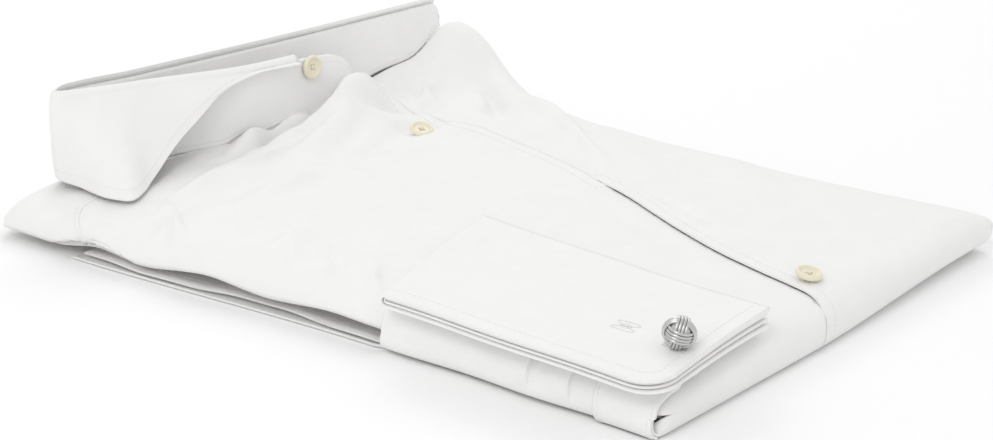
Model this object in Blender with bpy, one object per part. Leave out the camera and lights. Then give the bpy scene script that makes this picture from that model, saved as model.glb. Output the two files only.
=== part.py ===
"""A long sleeve dress shirt with double cuffs, folded as for a shelf: front up, collar standing open.

The shirt lies on its folded-under tail. +Y runs up to the collar, +X to the wearer's left, +Z up. The
origin is on the underside, at the middle of the folded width. Every length is in metres.
"""

import math

import bmesh
import bpy
import numpy as np
from mathutils import Matrix, Vector

# The folded body
HALF_WIDTH = 0.1215
NEAR_FLARE = 0.0092
SHOULDER_Y = 0.1750
FOLD_Y = -0.1745
FAR_FLARE = 0.0045
CORNER = 0.0060
GAP = 0.0003
CLOTH = 0.0015
EDGE_POWER = 2.4
STACK_UNDER = 0.0068
TAIL_TOP = 0.0036
TAIL_HEM_Y = 0.1280
FOLD_RIM = 0.0100
FOLD_BULGE = 0.0150
FOLD_BULGE_BELOW = 0.0080
FOLD_LOOSE = 0.0180
FOLD_SLANT = 0.0030
ROLL_BULGE = 0.0160
TAIL_BULGE = 0.0030
TAIL_RIM = 0.0018
SHOULDER_DROP = 0.0040
SIDES = {
    # which way it lies from the middle, reach of its rounding, height of its rim
    "right": (-1, 0.0150, 0.0090),
    "left": (1, 0.0340, 0.0115),
}

# Height of the stack along its middle, and the share of it left at each side
CROWN_ROWS = (
    # y, height, share at the right side, share at the left side
    (-0.1745, 0.0205, 0.80, 0.98),
    (-0.1500, 0.0218, 0.78, 0.92),
    (-0.1000, 0.0245, 0.76, 0.78),
    (-0.0300, 0.0280, 0.74, 0.67),
    (0.0400, 0.0305, 0.72, 0.68),
    (0.1000, 0.0320, 0.66, 0.76),
    (0.1400, 0.0300, 0.68, 0.80),
    (0.1750, 0.0225, 0.78, 0.80),
)

# The largest folds, each a soft ridge or trough along a heading measured from +X towards +Y
FOLD_ROWS = (
    # x, y, heading in degrees, half length, half width, rise
    (0.1150, 0.1110, 98.0, 0.026, 0.019, 0.0370),
    (0.0930, 0.0650, 76.0, 0.052, 0.017, 0.0060),
    (0.0800, 0.1240, 178.0, 0.030, 0.012, 0.0100),
    (0.0240, 0.1040, 200.0, 0.030, 0.010, 0.0165),
    (-0.0200, 0.0880, 200.0, 0.040, 0.012, 0.0060),
    (0.0100, 0.0720, 186.0, 0.050, 0.012, -0.0030),
)

# The front edge that shows: the right front's above the crossing, the left front's below it
EDGE_ROWS = (
    # y, x
    (-0.1745, -0.0145),
    (-0.1130, -0.0025),
    (-0.0320, 0.0275),
    (0.0540, 0.0455),
    (0.0950, 0.0455),
    (0.1180, 0.0340),
)
CROSSING_Y = -0.0320
EDGE_LIFT = 0.0020
LIFT_REACH = 0.0250

# The collar: where its foot runs, from the right front end round the crease to the left front end
COLLAR_ROWS = (
    # distance along, x, y, foot height, top height, lean of the top along x, and along y
    (0.000, 0.0330, 0.1150, 0.0400, 0.0570, 0.0, 0.0040),
    (0.020, 0.0130, 0.1145, 0.0345, 0.0600, 0.0, 0.0030),
    (0.068, -0.0350, 0.1190, 0.0325, 0.0625, 0.0, 0.0010),
    (0.110, -0.0740, 0.1340, 0.0310, 0.0635, -0.0010, 0.0000),
    (0.150, -0.1050, 0.1475, 0.0280, 0.0640, -0.0050, 0.0000),
    (0.158, -0.1085, 0.1505, 0.0270, 0.0640, -0.0055, 0.0000),
    (0.166, -0.1050, 0.1530, 0.0280, 0.0640, -0.0050, 0.0005),
    (0.210, -0.0680, 0.1470, 0.0310, 0.0640, -0.0010, 0.0010),
    (0.300, 0.0200, 0.1340, 0.0330, 0.0640, 0.0, 0.0020),
    (0.385, 0.1040, 0.1230, 0.0330, 0.0655, 0.0, 0.0010),
)
YOKE_SEAM_Y = 0.1310
SEAM_DROP = 0.0170
STAND_WALL = 0.0020
LEAF_WALL = 0.0016
NECK_DEPTH = 0.0040

# Lower edge of the leaf: along the right point's front edge, the lower edges, and the left point
LEAF_ROWS = (
    # distance along, x, y, z
    (0.0360, -0.0050, 0.1112, 0.0612),
    (0.0620, -0.0330, 0.1145, 0.0612),
    (0.0760, -0.0500, 0.1158, 0.0570),
    (0.0880, -0.0620, 0.1160, 0.0500),
    (0.1060, -0.0800, 0.1160, 0.0390),
    (0.1180, -0.0950, 0.1140, 0.0290),
    (0.1280, -0.1110, 0.1100, 0.0225),
    (0.1340, -0.1135, 0.1190, 0.0230),
    (0.1500, -0.1120, 0.1420, 0.0245),
    (0.1580, -0.1135, 0.1510, 0.0255),
    (0.1660, -0.1110, 0.1580, 0.0255),
    (0.2100, -0.0700, 0.1580, 0.0255),
    (0.3000, 0.0210, 0.1440, 0.0260),
    (0.3840, 0.1020, 0.1320, 0.0310),
)
LEAF_CLEAR = 0.0012
LEAF_BOW = 0.0015
CREASE_S = 0.1580
LEFT_END_X = 0.1045
SPLIT_X = 0.0260
SEAM_GAP = 0.0013
SEAM_GAP_AT_RIM = 0.0052
FOOT_CLEAR = 0.0018

# Hidden layers
HIDDEN_INSET = 0.0040
HIDDEN_DROP = 0.0065
TAIL_INSET = 0.0040

# The right sleeve where it comes round to its cuff
SLEEVE_FROM_Y = -0.1675
SLEEVE_TO_Y = -0.0420
SLEEVE_WALL = 0.0020
SLEEVE_OVER = 0.0120
SLEEVE_TURN = 0.0030
SLEEVE_IN = 0.0200
SLEEVE_SAG = 0.0012
SLEEVE_LOW = 0.0012
SLEEVE_ROOM = 0.0095
DRAWN_RUN = 0.0040
PLEAT_ROWS = (
    # y of the fold, depth
    (-0.1330, 0.0012),
    (-0.1150, 0.0012),
)
PLEAT_RUN = 0.0140
PLACKET_WIDTH = 0.0260
PLACKET_WALL = 0.0010

# The double cuff, flattened: its corners, sleeve edge first, looped end first
CUFF_CORNERS = (
    # x, y, z of the middle of its thickness
    (-0.1290, -0.0490, 0.0250),
    (-0.0490, -0.0330, 0.0312),
    (-0.1325, -0.1790, 0.0242),
    (-0.0530, -0.1730, 0.0265),
)
CUFF_DEPTH = 0.0800
CUFF_WIDTH = 0.1350
CUFF_WALL = 0.0010
CUFF_RADIUS = 0.0025
CUFF_CORNER = 0.0140
CUFF_CROWN = 0.0010
CUFF_FAN = 0.6

# The cuff link
LINK_U = 0.0290
LINK_FROM_END = 0.0095
KNOT_RADIUS = 0.0063
POST_RADIUS = 0.0012
BAR_LENGTH = 0.0150
BAR_WIDTH = 0.0040
BAR_THICK = 0.0020

# Buttons
BUTTON_RADIUS = 0.0055
BUTTON_THICK = 0.0024
BUTTON_RAISE = 0.0018
BUTTON_S = 0.0270
BUTTON_SHARE = 0.84
FRONT_BUTTONS = (
    # name, x, y, the way it faces
    ("button_front_top", 0.0260, 0.0670, (-0.10, -0.30, 1.0)),
    ("button_front_low", -0.0020, -0.1575, (0.0, -0.20, 1.0)),
)

WHITE = (0.90, 0.90, 0.91)
SHADE = (0.80, 0.80, 0.80)
IVORY = (0.88, 0.83, 0.70)
SILVER = (0.70, 0.70, 0.69)


def smooth(value):
    """Soft step from 0 to 1 as the value goes from 0 to 1."""
    t = np.clip(value, 0.0, 1.0)
    return t * t * (3 - 2 * t)


def along_rows(rows, column, value):
    """Smooth curve through one column of a table, over its first column."""
    at = np.array([row[0] for row in rows])
    of = np.array([row[column] for row in rows])
    slope = np.gradient(of, at)
    value = np.clip(value, at[0], at[-1])
    i = np.clip(np.searchsorted(at, value, side="right") - 1, 0, len(at) - 2)
    step = at[i + 1] - at[i]
    t = (value - at[i]) / step
    start = (1 + 2 * t) * (1 - t) ** 2 * of[i] + t * (1 - t) ** 2 * step * slope[i]
    return start + t * t * (3 - 2 * t) * of[i + 1] + t * t * (t - 1) * step * slope[i + 1]


def rounding(distance, reach):
    """Height share at a distance inside a rounded edge: 0 at the edge, 1 past its reach."""
    inside = 1 - np.clip(distance / reach, 0.0, 1.0)
    return (1 - inside**EDGE_POWER) ** (1 / EDGE_POWER)


def rim_x(side, y):
    """X of the widest point of one side, drawn in round the corners of the plan."""
    sign = SIDES[side][0]
    near, far = NEAR_FLARE * smooth((y + 0.04) / 0.18), FAR_FLARE * smooth((-0.06 - y) / 0.10)
    width = HALF_WIDTH + (near if sign < 0 else far)
    inset = 0.0
    for distance in (y - FOLD_Y, SHOULDER_Y - y):
        inside = 1 - np.clip(distance / CORNER, 0.0, 1.0)
        inset = inset + CORNER * (1 - np.sqrt(1 - inside**2))
    return sign * (width - inset)


def run_y(first, last, x):
    """Y of the collar's foot over x, along the table's rows from first to last."""
    rows = sorted((row[1], row[2]) for row in COLLAR_ROWS[first:last])
    return np.interp(x, [row[0] for row in rows], [row[1] for row in rows])


def stack_top(x, y, raised=None):
    """Height of the upper face of the stack before its edges are rounded, with a share of its folds."""
    share = np.where(x < 0, along_rows(CROWN_ROWS, 2, y), along_rows(CROWN_ROWS, 3, y))
    height = along_rows(CROWN_ROWS, 1, y) * (1 - (1 - share) * np.abs(x / HALF_WIDTH) ** 2.5)
    folds = 0.0
    for fold_x, fold_y, heading, length, width, rise in FOLD_ROWS:
        cos, sin = math.cos(math.radians(heading)), math.sin(math.radians(heading))
        along = (x - fold_x) * cos + (y - fold_y) * sin
        across = (y - fold_y) * cos - (x - fold_x) * sin
        folds = folds + rise * np.exp(-((along / length) ** 2) - (across / width) ** 2)
    inside = smooth((y - run_y(0, 6, x)) / 0.006) * smooth((run_y(5, 10, x) - y) / 0.006)
    shown = folds if raised is None else folds * raised
    return height + shown - NECK_DEPTH * inside * smooth((0.050 - x) / 0.02)


def lift(side, x, y):
    """How far the front edge that shows stands above the other front."""
    above = smooth((y - CROSSING_Y) / 0.03 + 0.5)
    share = above if side == "right" else 1 - above
    return EDGE_LIFT * share * np.exp(-(((x - along_rows(EDGE_ROWS, 1, y)) / LIFT_REACH) ** 2))


def body_point(side, x, y, half, raised=None):
    """Point of the outer face: half is 1 above the rim and -1 below it."""
    sign, reach, rim = SIDES[side]
    far = smooth((x + 0.02) / 0.14)
    inward = np.abs(rim_x(side, y) - x)
    fold_rim = FOLD_RIM + 0.0030 * far
    rim = fold_rim + (rim - fold_rim) * smooth((y - FOLD_Y) / 0.03)
    rim = rim - SHOULDER_DROP * smooth((y - 0.112) / 0.03)
    fullness = rounding(inward, reach) * rounding(y - FOLD_Y, FOLD_BULGE)
    fullness = fullness * rounding(SHOULDER_Y - y, ROLL_BULGE)
    above = rim + (stack_top(x, y, raised) + lift(side, x, y) - rim) * fullness
    below_reach = FOLD_BULGE_BELOW + FOLD_LOOSE * far
    low_rim = fold_rim + (TAIL_RIM - fold_rim) * np.clip((y - FOLD_Y) / (below_reach + 0.004), 0.0, 1.0)
    below = low_rim * (1 - rounding(inward, TAIL_BULGE) * rounding(y - FOLD_Y, below_reach))
    slanted = y + FOLD_SLANT * far * (1 - smooth((y - FOLD_Y) / 0.06))
    return np.stack([x + 0 * y, slanted + 0 * x, np.where(half > 0, above, below)], axis=-1)


def moved_out(points, distance, level_ends=()):
    """The grid moved along its normals, kept level in the columns of a rim."""
    normal = np.cross(np.gradient(points, axis=1), np.gradient(points, axis=0))
    for column in level_ends:
        normal[:, column, 2] = 0.0
    normal /= np.maximum(np.linalg.norm(normal, axis=-1, keepdims=True), 1e-12)
    return points + normal * distance


def eased(count, reach):
    """Distances inside a rounded edge, from its reach to 0, closer together towards the edge."""
    angle = np.linspace(0, math.pi / 2, count + 1)[1:]
    return reach * (1 - np.sin(angle))


def finish(name, bm, colour, roughness, collection, metallic=0.0):
    """Makes an object of the mesh, smooth shaded, with a material of its own."""
    mesh = bpy.data.meshes.new(name)
    bm.to_mesh(mesh)
    bm.free()
    mesh.shade_smooth()
    material = bpy.data.materials.new(name)
    material.use_nodes = True
    shader = material.node_tree.nodes["Principled BSDF"]
    shader.inputs["Base Color"].default_value = (*colour, 1.0)
    shader.inputs["Roughness"].default_value = roughness
    shader.inputs["Metallic"].default_value = metallic
    mesh.materials.append(material)
    piece = bpy.data.objects.new(name, mesh)
    collection.objects.link(piece)
    return piece


def wall_between(outer, inner):
    """Closed wall between two grids of the same size, whose outer faces out."""
    rows, columns = outer.shape[:2]
    bm = bmesh.new()
    grids = []
    for grid in (outer, inner):
        grids.append([[bm.verts.new(grid[i, j]) for j in range(columns)] for i in range(rows)])
    top, low = grids
    for i in range(rows - 1):
        for j in range(columns - 1):
            bm.faces.new((top[i][j], top[i + 1][j], top[i + 1][j + 1], top[i][j + 1]))
            bm.faces.new((low[i][j], low[i][j + 1], low[i + 1][j + 1], low[i + 1][j]))
    rim = [(i, 0) for i in range(rows)] + [(rows - 1, j) for j in range(1, columns)]
    rim += [(i, columns - 1) for i in range(rows - 2, -1, -1)] + [(0, j) for j in range(columns - 2, 0, -1)]
    for (i, j), (k, m) in zip(rim, rim[1:] + rim[:1]):
        bm.faces.new((top[i][j], low[i][j], low[k][m], top[k][m]))
    bmesh.ops.recalc_face_normals(bm, faces=bm.faces)
    return bm


def front_rows():
    """(y, half) of each row of a front, from the yoke down, round the bottom fold, and back to the hem."""
    top = [(y, 1) for y in np.linspace(YOKE_SEAM_Y, FOLD_Y + FOLD_BULGE, 26)]
    over = [(FOLD_Y + d, 1) for d in eased(5, FOLD_BULGE)]
    under = [(FOLD_Y + d, -1) for d in eased(7, FOLD_BULGE_BELOW + FOLD_LOOSE)[-2::-1]]
    tail = [(y, -1) for y in np.linspace(FOLD_Y + FOLD_BULGE_BELOW + FOLD_LOOSE, TAIL_HEM_Y, 9)]
    return top + over + under + tail


def seam_y(side, x):
    """Y at which a front ends at its top: the neck foot near the middle, the yoke seam outside it."""
    inward = np.abs(rim_x(side, YOKE_SEAM_Y) - x)
    seam = YOKE_SEAM_Y - SEAM_DROP * (1 - rounding(inward, SIDES[side][1]))
    foot = run_y(0, 6, x) if side == "right" else run_y(5, 10, x)
    limit = foot - FOOT_CLEAR
    if side == "left":
        limit = limit + (seam - limit) * smooth((x - LEFT_END_X) / 0.010)
    return np.minimum(seam, limit)


def tail_rim(side, y):
    """X of the rim of the tails: drawn in on the right where the sleeve comes out."""
    start = SLEEVE_FROM_Y - DRAWN_RUN
    drawn = smooth((y - start) / DRAWN_RUN) * smooth((SLEEVE_TO_Y + 0.004 - y) / 0.012)
    return rim_x(side, y) + (SLEEVE_ROOM * drawn if side == "right" else 0)


def front_columns(side, rim, edge):
    """X of each column of a front, from its front edge out to the rim, closer together at the rim."""
    sign, reach, _ = SIDES[side]
    flat = np.linspace(0, 1, 13)[None, :] * (rim - sign * reach - edge) + edge
    return np.concatenate([flat, rim - sign * eased(5, reach)[None, :]], axis=1)


def front(side, collection):
    """One front with its tail: over the top, round the bottom fold, and flat underneath to its hem."""
    sign = SIDES[side][0]
    rows = front_rows()
    half = np.array([row[1] for row in rows])[:, None]
    y = np.array([row[0] for row in rows])[:, None]
    edge = np.where(half > 0, along_rows(EDGE_ROWS, 1, y), EDGE_ROWS[0][1]) + sign * GAP / 2
    x = front_columns(side, np.where(half > 0, rim_x(side, y), tail_rim(side, y)), edge)
    end = (seam_y(side, x) - YOKE_SEAM_Y) * smooth((y - YOKE_SEAM_Y) / 0.04 + 1)
    outer = body_point(side, x, np.where(half > 0, y + end, y), half)
    edge_rise = TAIL_RIM * (1 - rounding(np.abs(tail_rim(side, y) - x), TAIL_BULGE))
    outer[..., 2] = np.where(half > 0, outer[..., 2], np.maximum(outer[..., 2], edge_rise))
    outer = outer[::-1, ::-1] if sign < 0 else outer[::-1]
    inner = moved_out(outer, -CLOTH, (0 if sign < 0 else -1,))
    return finish("front_" + side, wall_between(outer, inner), WHITE, 0.8, collection)


def whole_columns(y):
    """X of each column from the right rim to the left rim."""
    right = front_columns("right", rim_x("right", y), 0 * y)[:, ::-1]
    return np.concatenate([right, front_columns("left", rim_x("left", y), 0 * y)[:, 1:]], axis=1)


def whole_top(x, y, raised):
    """Outer face over the whole width, with a share of the folds."""
    right, left = (body_point(side, x, y, 1, raised) for side in ("right", "left"))
    return np.where((x < 0)[..., None], right, left)


def behind_collar(x):
    """Share of the folds that carries on past the collar: only beyond its left end."""
    return smooth((x - LEFT_END_X + 0.001) / 0.010)


def yoke(collection):
    """The yoke: from the front seams and the neck back over the shoulder, down to the rim of the stack."""
    steps = [*np.linspace(0, 1, 8)]
    y_end = [SHOULDER_Y - d for d in eased(6, ROLL_BULGE)]
    y = np.array([YOKE_SEAM_Y + (SHOULDER_Y - ROLL_BULGE - YOKE_SEAM_Y) * t for t in steps] + y_end)[:, None]
    x = whole_columns(y)
    start = np.where(x < SPLIT_X, seam_y("right", x), seam_y("left", x)) + SEAM_GAP
    start = start + SEAM_GAP_AT_RIM * (1 - smooth((x - x[:, :1]) / 0.006))
    behind = smooth((x - SPLIT_X + 0.004) / 0.004) * (1 - smooth((x - LEFT_END_X) / 0.010))
    start = start + 2 * FOOT_CLEAR * behind
    share = np.clip((y - YOKE_SEAM_Y) / (SHOULDER_Y - ROLL_BULGE - YOKE_SEAM_Y), 0, 1)
    y = np.where(share < 1, start + (SHOULDER_Y - ROLL_BULGE - start) * share, y)
    outer = whole_top(x, y, behind_collar(x))
    inner = moved_out(outer, -CLOTH, (0, -1))
    return finish("yoke", wall_between(outer, inner), WHITE, 0.8, collection)


def hidden_layers(collection):
    """The back, sides and far sleeve folded inside, as one rounded solid under the fronts and yoke."""
    low_y, high_y = FOLD_Y + HIDDEN_INSET, SHOULDER_Y - HIDDEN_INSET
    ends = [low_y + d for d in eased(4, FOLD_BULGE)[::-1]]
    ends += [*np.linspace(low_y + FOLD_BULGE, high_y - ROLL_BULGE, 16)]
    y = np.array(ends + [high_y - d for d in eased(5, ROLL_BULGE)])[:, None]
    x = whole_columns(y)[:, ::2] * (1 - HIDDEN_INSET / HALF_WIDTH)
    rows = whole_top(x, y + 0 * x, 0.0)
    rows[..., 2] = np.maximum(rows[..., 2] - HIDDEN_DROP, SIDES["right"][2])
    inward = np.minimum(np.abs(x - x[:, :1]), np.abs(x - x[:, -1:]))
    full = rounding(inward, 0.012) * rounding(y - low_y, 0.012) * rounding(high_y - y, 0.012)
    low = rows.copy()
    low[..., 2] = SIDES["right"][2] - 0.0008 - (SIDES["right"][2] - 0.0008 - STACK_UNDER) * full
    return finish("hidden_layers", wall_between(rows, low), SHADE, 0.85, collection)


def back_tail(collection):
    """The back's tail, folded under the stack with the fronts' tails beneath it."""
    y = np.linspace(FOLD_Y + 0.036, TAIL_HEM_Y - 0.004, 12)[:, None]
    share = np.linspace(0, 1, 6)[None, :]
    right = tail_rim("right", y) + TAIL_INSET
    x = right + (rim_x("left", y) - TAIL_INSET - right) * share
    upper = np.stack([x, y + 0 * x, TAIL_TOP + 0 * x], axis=-1)
    lower = upper - np.array([0.0, 0.0, TAIL_TOP - CLOTH - GAP])
    return finish("back_tail", wall_between(upper, lower), SHADE, 0.85, collection)


def pleat_rise(y):
    """How far the pleats stand proud: each rises at its fold and runs out towards the cuff's end."""
    rise = 0.0
    for fold_y, depth in PLEAT_ROWS:
        past = (y - fold_y) / PLEAT_RUN
        rise = rise + depth * np.where((past > 0) & (past < 1), (1 - past), 0.0)
    return rise


def sleeve_face(distance, y):
    """Face of the sleeve at a distance off the body: over the top, down the side, and in beneath."""
    rim = rim_x("right", y)
    over = rim + SLEEVE_OVER * (1 - np.linspace(0, 1, 7)[None, :]) ** 1.6
    upper = moved_out(body_point("right", over, y, 1), -distance, (-1,))
    angle = np.linspace(0, math.pi / 2, 7)[None, 1:]
    under = SLEEVE_WALL + GAP - distance
    low_z = SLEEVE_LOW + under
    top_z = upper[:, -1:, 2]
    x = rim + SLEEVE_TURN - (SLEEVE_TURN + distance) * np.cos(angle) - SLEEVE_SAG * np.sin(2 * angle)
    lower = np.stack([x, y + 0 * x, top_z - (top_z - low_z) * np.sin(angle)], axis=-1)
    along = np.linspace(0, 1, 5)[None, 1:]
    x = rim + SLEEVE_TURN + SLEEVE_IN * along * (0.04 + 0.96 * smooth((y - SLEEVE_FROM_Y - 0.008) / 0.018))
    climb = smooth((x - rim - SLEEVE_TURN) / (SLEEVE_ROOM - 0.004))
    inside = np.stack([x, y + 0 * x, low_z + (TAIL_TOP + GAP - SLEEVE_LOW) * climb], axis=-1)
    return np.concatenate([upper, lower, inside], axis=1)


def sleeve_rows():
    """Y of each row of the sleeve, with a close pair at the fold of each pleat."""
    rows = set(np.round(np.linspace(SLEEVE_FROM_Y, SLEEVE_TO_Y, 15), 5))
    for fold_y, _ in PLEAT_ROWS:
        rows |= {fold_y - 0.0001, fold_y + 0.0002, fold_y + PLEAT_RUN}
    return np.array(sorted(rows))[:, None]


def sleeve(collection):
    """The right sleeve's end: out from under the stack, up round its side and over to the cuff."""
    y = sleeve_rows()
    inner = sleeve_face(GAP, y)
    outer = sleeve_face(GAP + SLEEVE_WALL, y)
    outer[:, :9] += (outer - inner)[:, :9] / SLEEVE_WALL * pleat_rise(y)[..., None]
    return finish("sleeve_right", wall_between(outer[:, ::-1], inner[:, ::-1]), WHITE, 0.8, collection)


def sleeve_placket(collection):
    """The placket at the sleeve's opening, a strip on the sleeve beside the cuff's ends."""
    y = np.linspace(SLEEVE_FROM_Y, SLEEVE_FROM_Y + PLACKET_WIDTH, 5)[:, None]
    inner = sleeve_face(2 * GAP + SLEEVE_WALL, y)[:, :11]
    outer = sleeve_face(2 * GAP + SLEEVE_WALL + PLACKET_WALL, y)[:, :11]
    wall = wall_between(outer[:, ::-1], inner[:, ::-1])
    return finish("sleeve_placket_right", wall, WHITE, 0.8, collection)


def cuff_point(u, v, w):
    """Point of the flattened cuff: u from its sleeve edge, v from its looped end, w off its middle."""
    share_u, share_v = u / CUFF_DEPTH, v / CUFF_WIDTH
    near_l, far_l, near_r, far_r = (np.array(row) for row in CUFF_CORNERS)
    base = (
        near_l * ((1 - share_u) * (1 - share_v))[..., None]
        + far_l * (share_u * (1 - share_v))[..., None]
        + near_r * ((1 - share_u) * share_v)[..., None]
        + far_r * (share_u * share_v)[..., None]
    )
    base[..., 2] += CUFF_CROWN * np.sin(math.pi * np.clip(share_u, 0, 1))
    fan = 1 + CUFF_FAN * smooth((share_v - 0.6) / 0.4) * share_u
    base[..., 2] += w * fan
    return base


def cuff_layer(name, radius, trim, collection):
    """One half of the cuff: along the top, round the looped end, and back beneath."""
    run = CUFF_WIDTH - trim
    u = np.linspace(trim, CUFF_DEPTH, 9)[None, :]
    corner = CUFF_CORNER * (1 - np.sqrt(1 - (1 - np.clip((u - trim) / CUFF_CORNER, 0, 1)) ** 2))
    length = run - corner
    faces = []
    for r in (radius, radius - CUFF_WALL):
        share = np.linspace(1, 0, 13)[:, None]
        angle = np.linspace(0, math.pi, 7)[1:-1, None]
        top = cuff_point(u + 0 * share, length * share, r + 0 * share * u)
        loop = cuff_point(u + 0 * angle, -r * np.sin(angle) + 0 * u, r * np.cos(angle) + 0 * u)
        low = cuff_point(u + 0 * share, length * share[::-1], -r + 0 * share * u)
        faces.append(np.concatenate([top, loop, low], axis=0))
    return finish(name, wall_between(*faces), WHITE, 0.75, collection)


def collar_frame(s):
    """Foot, top and outward direction of the collar at a distance along it."""
    x, y, foot, top, lean_x, lean_y = (along_rows(COLLAR_ROWS, column, s) for column in range(1, 7))
    step = 0.001
    dx = along_rows(COLLAR_ROWS, 1, s + step) - along_rows(COLLAR_ROWS, 1, s - step)
    dy = along_rows(COLLAR_ROWS, 2, s + step) - along_rows(COLLAR_ROWS, 2, s - step)
    size = np.hypot(dx, dy)
    out = np.stack([-dy / size, dx / size, 0 * dx], axis=-1)
    at_foot = np.stack([x, y, foot], axis=-1)
    at_top = np.stack([x + lean_x, y + lean_y, top], axis=-1)
    return at_foot, at_top, out


def collar_steps(first, last):
    """Distances along the collar, closer together round its crease."""
    loose = np.arange(first, last, 0.0125)
    tight = np.linspace(CREASE_S - 0.010, CREASE_S + 0.010, 9)
    kept = loose[np.abs(loose - CREASE_S) > 0.014]
    return np.array(sorted({*np.round(kept, 5), *np.round(tight, 5), first, last}))


def collar_stand(collection):
    """The band of the collar, with its two front ends rounded."""
    end = COLLAR_ROWS[-1][0]
    s = np.array(sorted({*collar_steps(0.0, end), 0.001, 0.0035, end - 0.001, end - 0.0035}))
    foot, top, out = collar_frame(s)
    share = np.linspace(0, 1, 5)[None, :, None]
    full = 0.35 + 0.65 * rounding(s, 0.014) * rounding(end - s, 0.005)
    foot[:, 2] = np.maximum(foot[:, 2], resting(foot[:, 0], foot[:, 1]))
    top = top - np.array([0.0, 0.0, 0.0005])
    middle = foot[:, None] + (top - foot)[:, None] * share * full[:, None, None]
    side = out[:, None] * STAND_WALL / 2
    return finish("collar_stand", wall_between(middle - side, middle + side), WHITE, 0.75, collection)


def resting(x, y):
    """Height just clear of the cloth at and close round a place."""
    heights = []
    for step_x, step_y in ((0, 0), (0.004, 0), (-0.004, 0), (0, 0.003), (0, -0.003)):
        at_x, at_y = x + step_x, y + step_y
        side_x = np.where(at_y < np.where(at_x < SPLIT_X, seam_y("right", at_x), seam_y("left", at_x)), 1, 0)
        heights.append(whole_top(at_x, at_y, np.maximum(side_x, behind_collar(at_x)))[..., 2])
    return np.max(heights, axis=0) + LEAF_CLEAR


def leaf_edge(s):
    """Lower edge of the collar's leaf at a distance along it, kept clear of what it lies on."""
    x, y, z = (along_rows(LEAF_ROWS, column, s) for column in range(1, 4))
    return np.stack([x, y, np.maximum(z, resting(x, y))], axis=-1)


def collar_leaf(collection):
    """The leaf of the collar, turned down outwards from the top of the stand to its points."""
    s = collar_steps(LEAF_ROWS[0][0], LEAF_ROWS[-1][0])
    _, top, out = collar_frame(s)
    edge = leaf_edge(s)
    up = np.array([0.0, 0.0, 1.0])
    faces = []
    for wall in (LEAF_WALL, 0.0):
        radius = STAND_WALL / 2 + GAP + wall
        angle = np.linspace(0, math.pi / 2, 5)[None, :, None]
        over = top[:, None] + out[:, None] * radius * np.sin(angle) + up * radius * np.cos(angle)
        share = np.linspace(0, 1, 7)[None, 1:, None]
        foot = edge + out * (wall - LEAF_WALL)
        down = over[:, -1:] + (foot[:, None] - over[:, -1:]) * share
        bow = LEAF_BOW * np.sin(math.pi * share)
        faces.append(np.concatenate([over, down + out[:, None] * bow], axis=1))
    return finish("collar_leaf", wall_between(*faces), WHITE, 0.75, collection)


def button(name, place, normal, collection):
    """A four-hole button with a raised rim, turned from its profile and lying against its cloth."""
    radius, thick = BUTTON_RADIUS, BUTTON_THICK
    profile = (
        (0.0, 0.62 * thick), (0.58 * radius, 0.62 * thick), (0.70 * radius, 0.95 * thick),
        (0.86 * radius, thick), (0.97 * radius, 0.80 * thick), (radius, 0.50 * thick),
        (0.90 * radius, 0.15 * thick), (0.55 * radius, 0.0), (0.0, 0.0),
    )
    bm = bmesh.new()
    verts = [bm.verts.new((r, 0.0, z)) for r, z in profile]
    edges = [bm.edges.new(pair) for pair in zip(verts, verts[1:])]
    bmesh.ops.spin(bm, geom=verts + edges, axis=(0, 0, 1), cent=(0, 0, 0), angle=math.tau, steps=24)
    bmesh.ops.remove_doubles(bm, verts=bm.verts, dist=1e-6)
    bmesh.ops.recalc_face_normals(bm, faces=bm.faces)
    piece = finish(name, bm, IVORY, 0.35, collection)
    axis = Vector(normal).normalized()
    piece.matrix_world = Matrix.Translation(Vector(place)) @ axis.to_track_quat("Z", "Y").to_matrix().to_4x4()
    return piece


def cylinder(radius, low, high, count, centre):
    """A closed upright cylinder."""
    bm = bmesh.new()
    bmesh.ops.create_cone(bm, cap_ends=True, segments=count, radius1=radius, radius2=radius, depth=high - low)
    bmesh.ops.translate(bm, verts=bm.verts, vec=(centre[0], centre[1], (low + high) / 2))
    return bm


def cuff_link(layers, shirt, cutters):
    """The woven knot on the cuff, its post through the buttonholes, and its bar beneath."""
    u, v = np.array([[LINK_U]]), np.array([[CUFF_WIDTH - LINK_FROM_END]])
    top = cuff_point(u, v, np.array([[CUFF_RADIUS]]))[0, 0]
    low = cuff_point(u, v, np.array([[-CUFF_RADIUS]]))[0, 0]
    shaft = cylinder(POST_RADIUS + GAP, low[2] - 0.01, top[2] + 0.01, 16, top)
    hole = finish("buttonhole", shaft, SHADE, 0.8, cutters)
    hole.hide_render = True
    hole.display_type = "WIRE"
    for layer in layers:
        cut = layer.modifiers.new("buttonhole", "BOOLEAN")
        cut.object = hole
        cut.operation = "DIFFERENCE"
        cut.solver = "EXACT"
    bm = bmesh.new()
    bmesh.ops.create_uvsphere(bm, u_segments=20, v_segments=12, radius=KNOT_RADIUS)
    bmesh.ops.translate(bm, verts=bm.verts, vec=(top[0], top[1], top[2] + KNOT_RADIUS + GAP))
    finish("link_knot", bm, SILVER, 0.3, shirt, metallic=1.0)
    shaft = cylinder(POST_RADIUS, low[2] - GAP - BAR_THICK / 2, top[2], 16, top)
    post = finish("link_post", shaft, SILVER, 0.3, shirt, 1.0)
    bm = bmesh.new()
    bmesh.ops.create_cube(bm, size=1.0)
    bmesh.ops.scale(bm, verts=bm.verts, vec=(BAR_WIDTH, BAR_LENGTH, BAR_THICK))
    bmesh.ops.translate(bm, verts=bm.verts, vec=(top[0], top[1], low[2] - GAP - BAR_THICK / 2))
    bar = finish("link_bar_shape", bm, SILVER, 0.3, cutters, 1.0)
    bar.hide_render = True
    bar.display_type = "WIRE"
    join = post.modifiers.new("bar", "BOOLEAN")
    join.object = bar
    join.operation = "UNION"
    join.solver = "EXACT"


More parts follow.
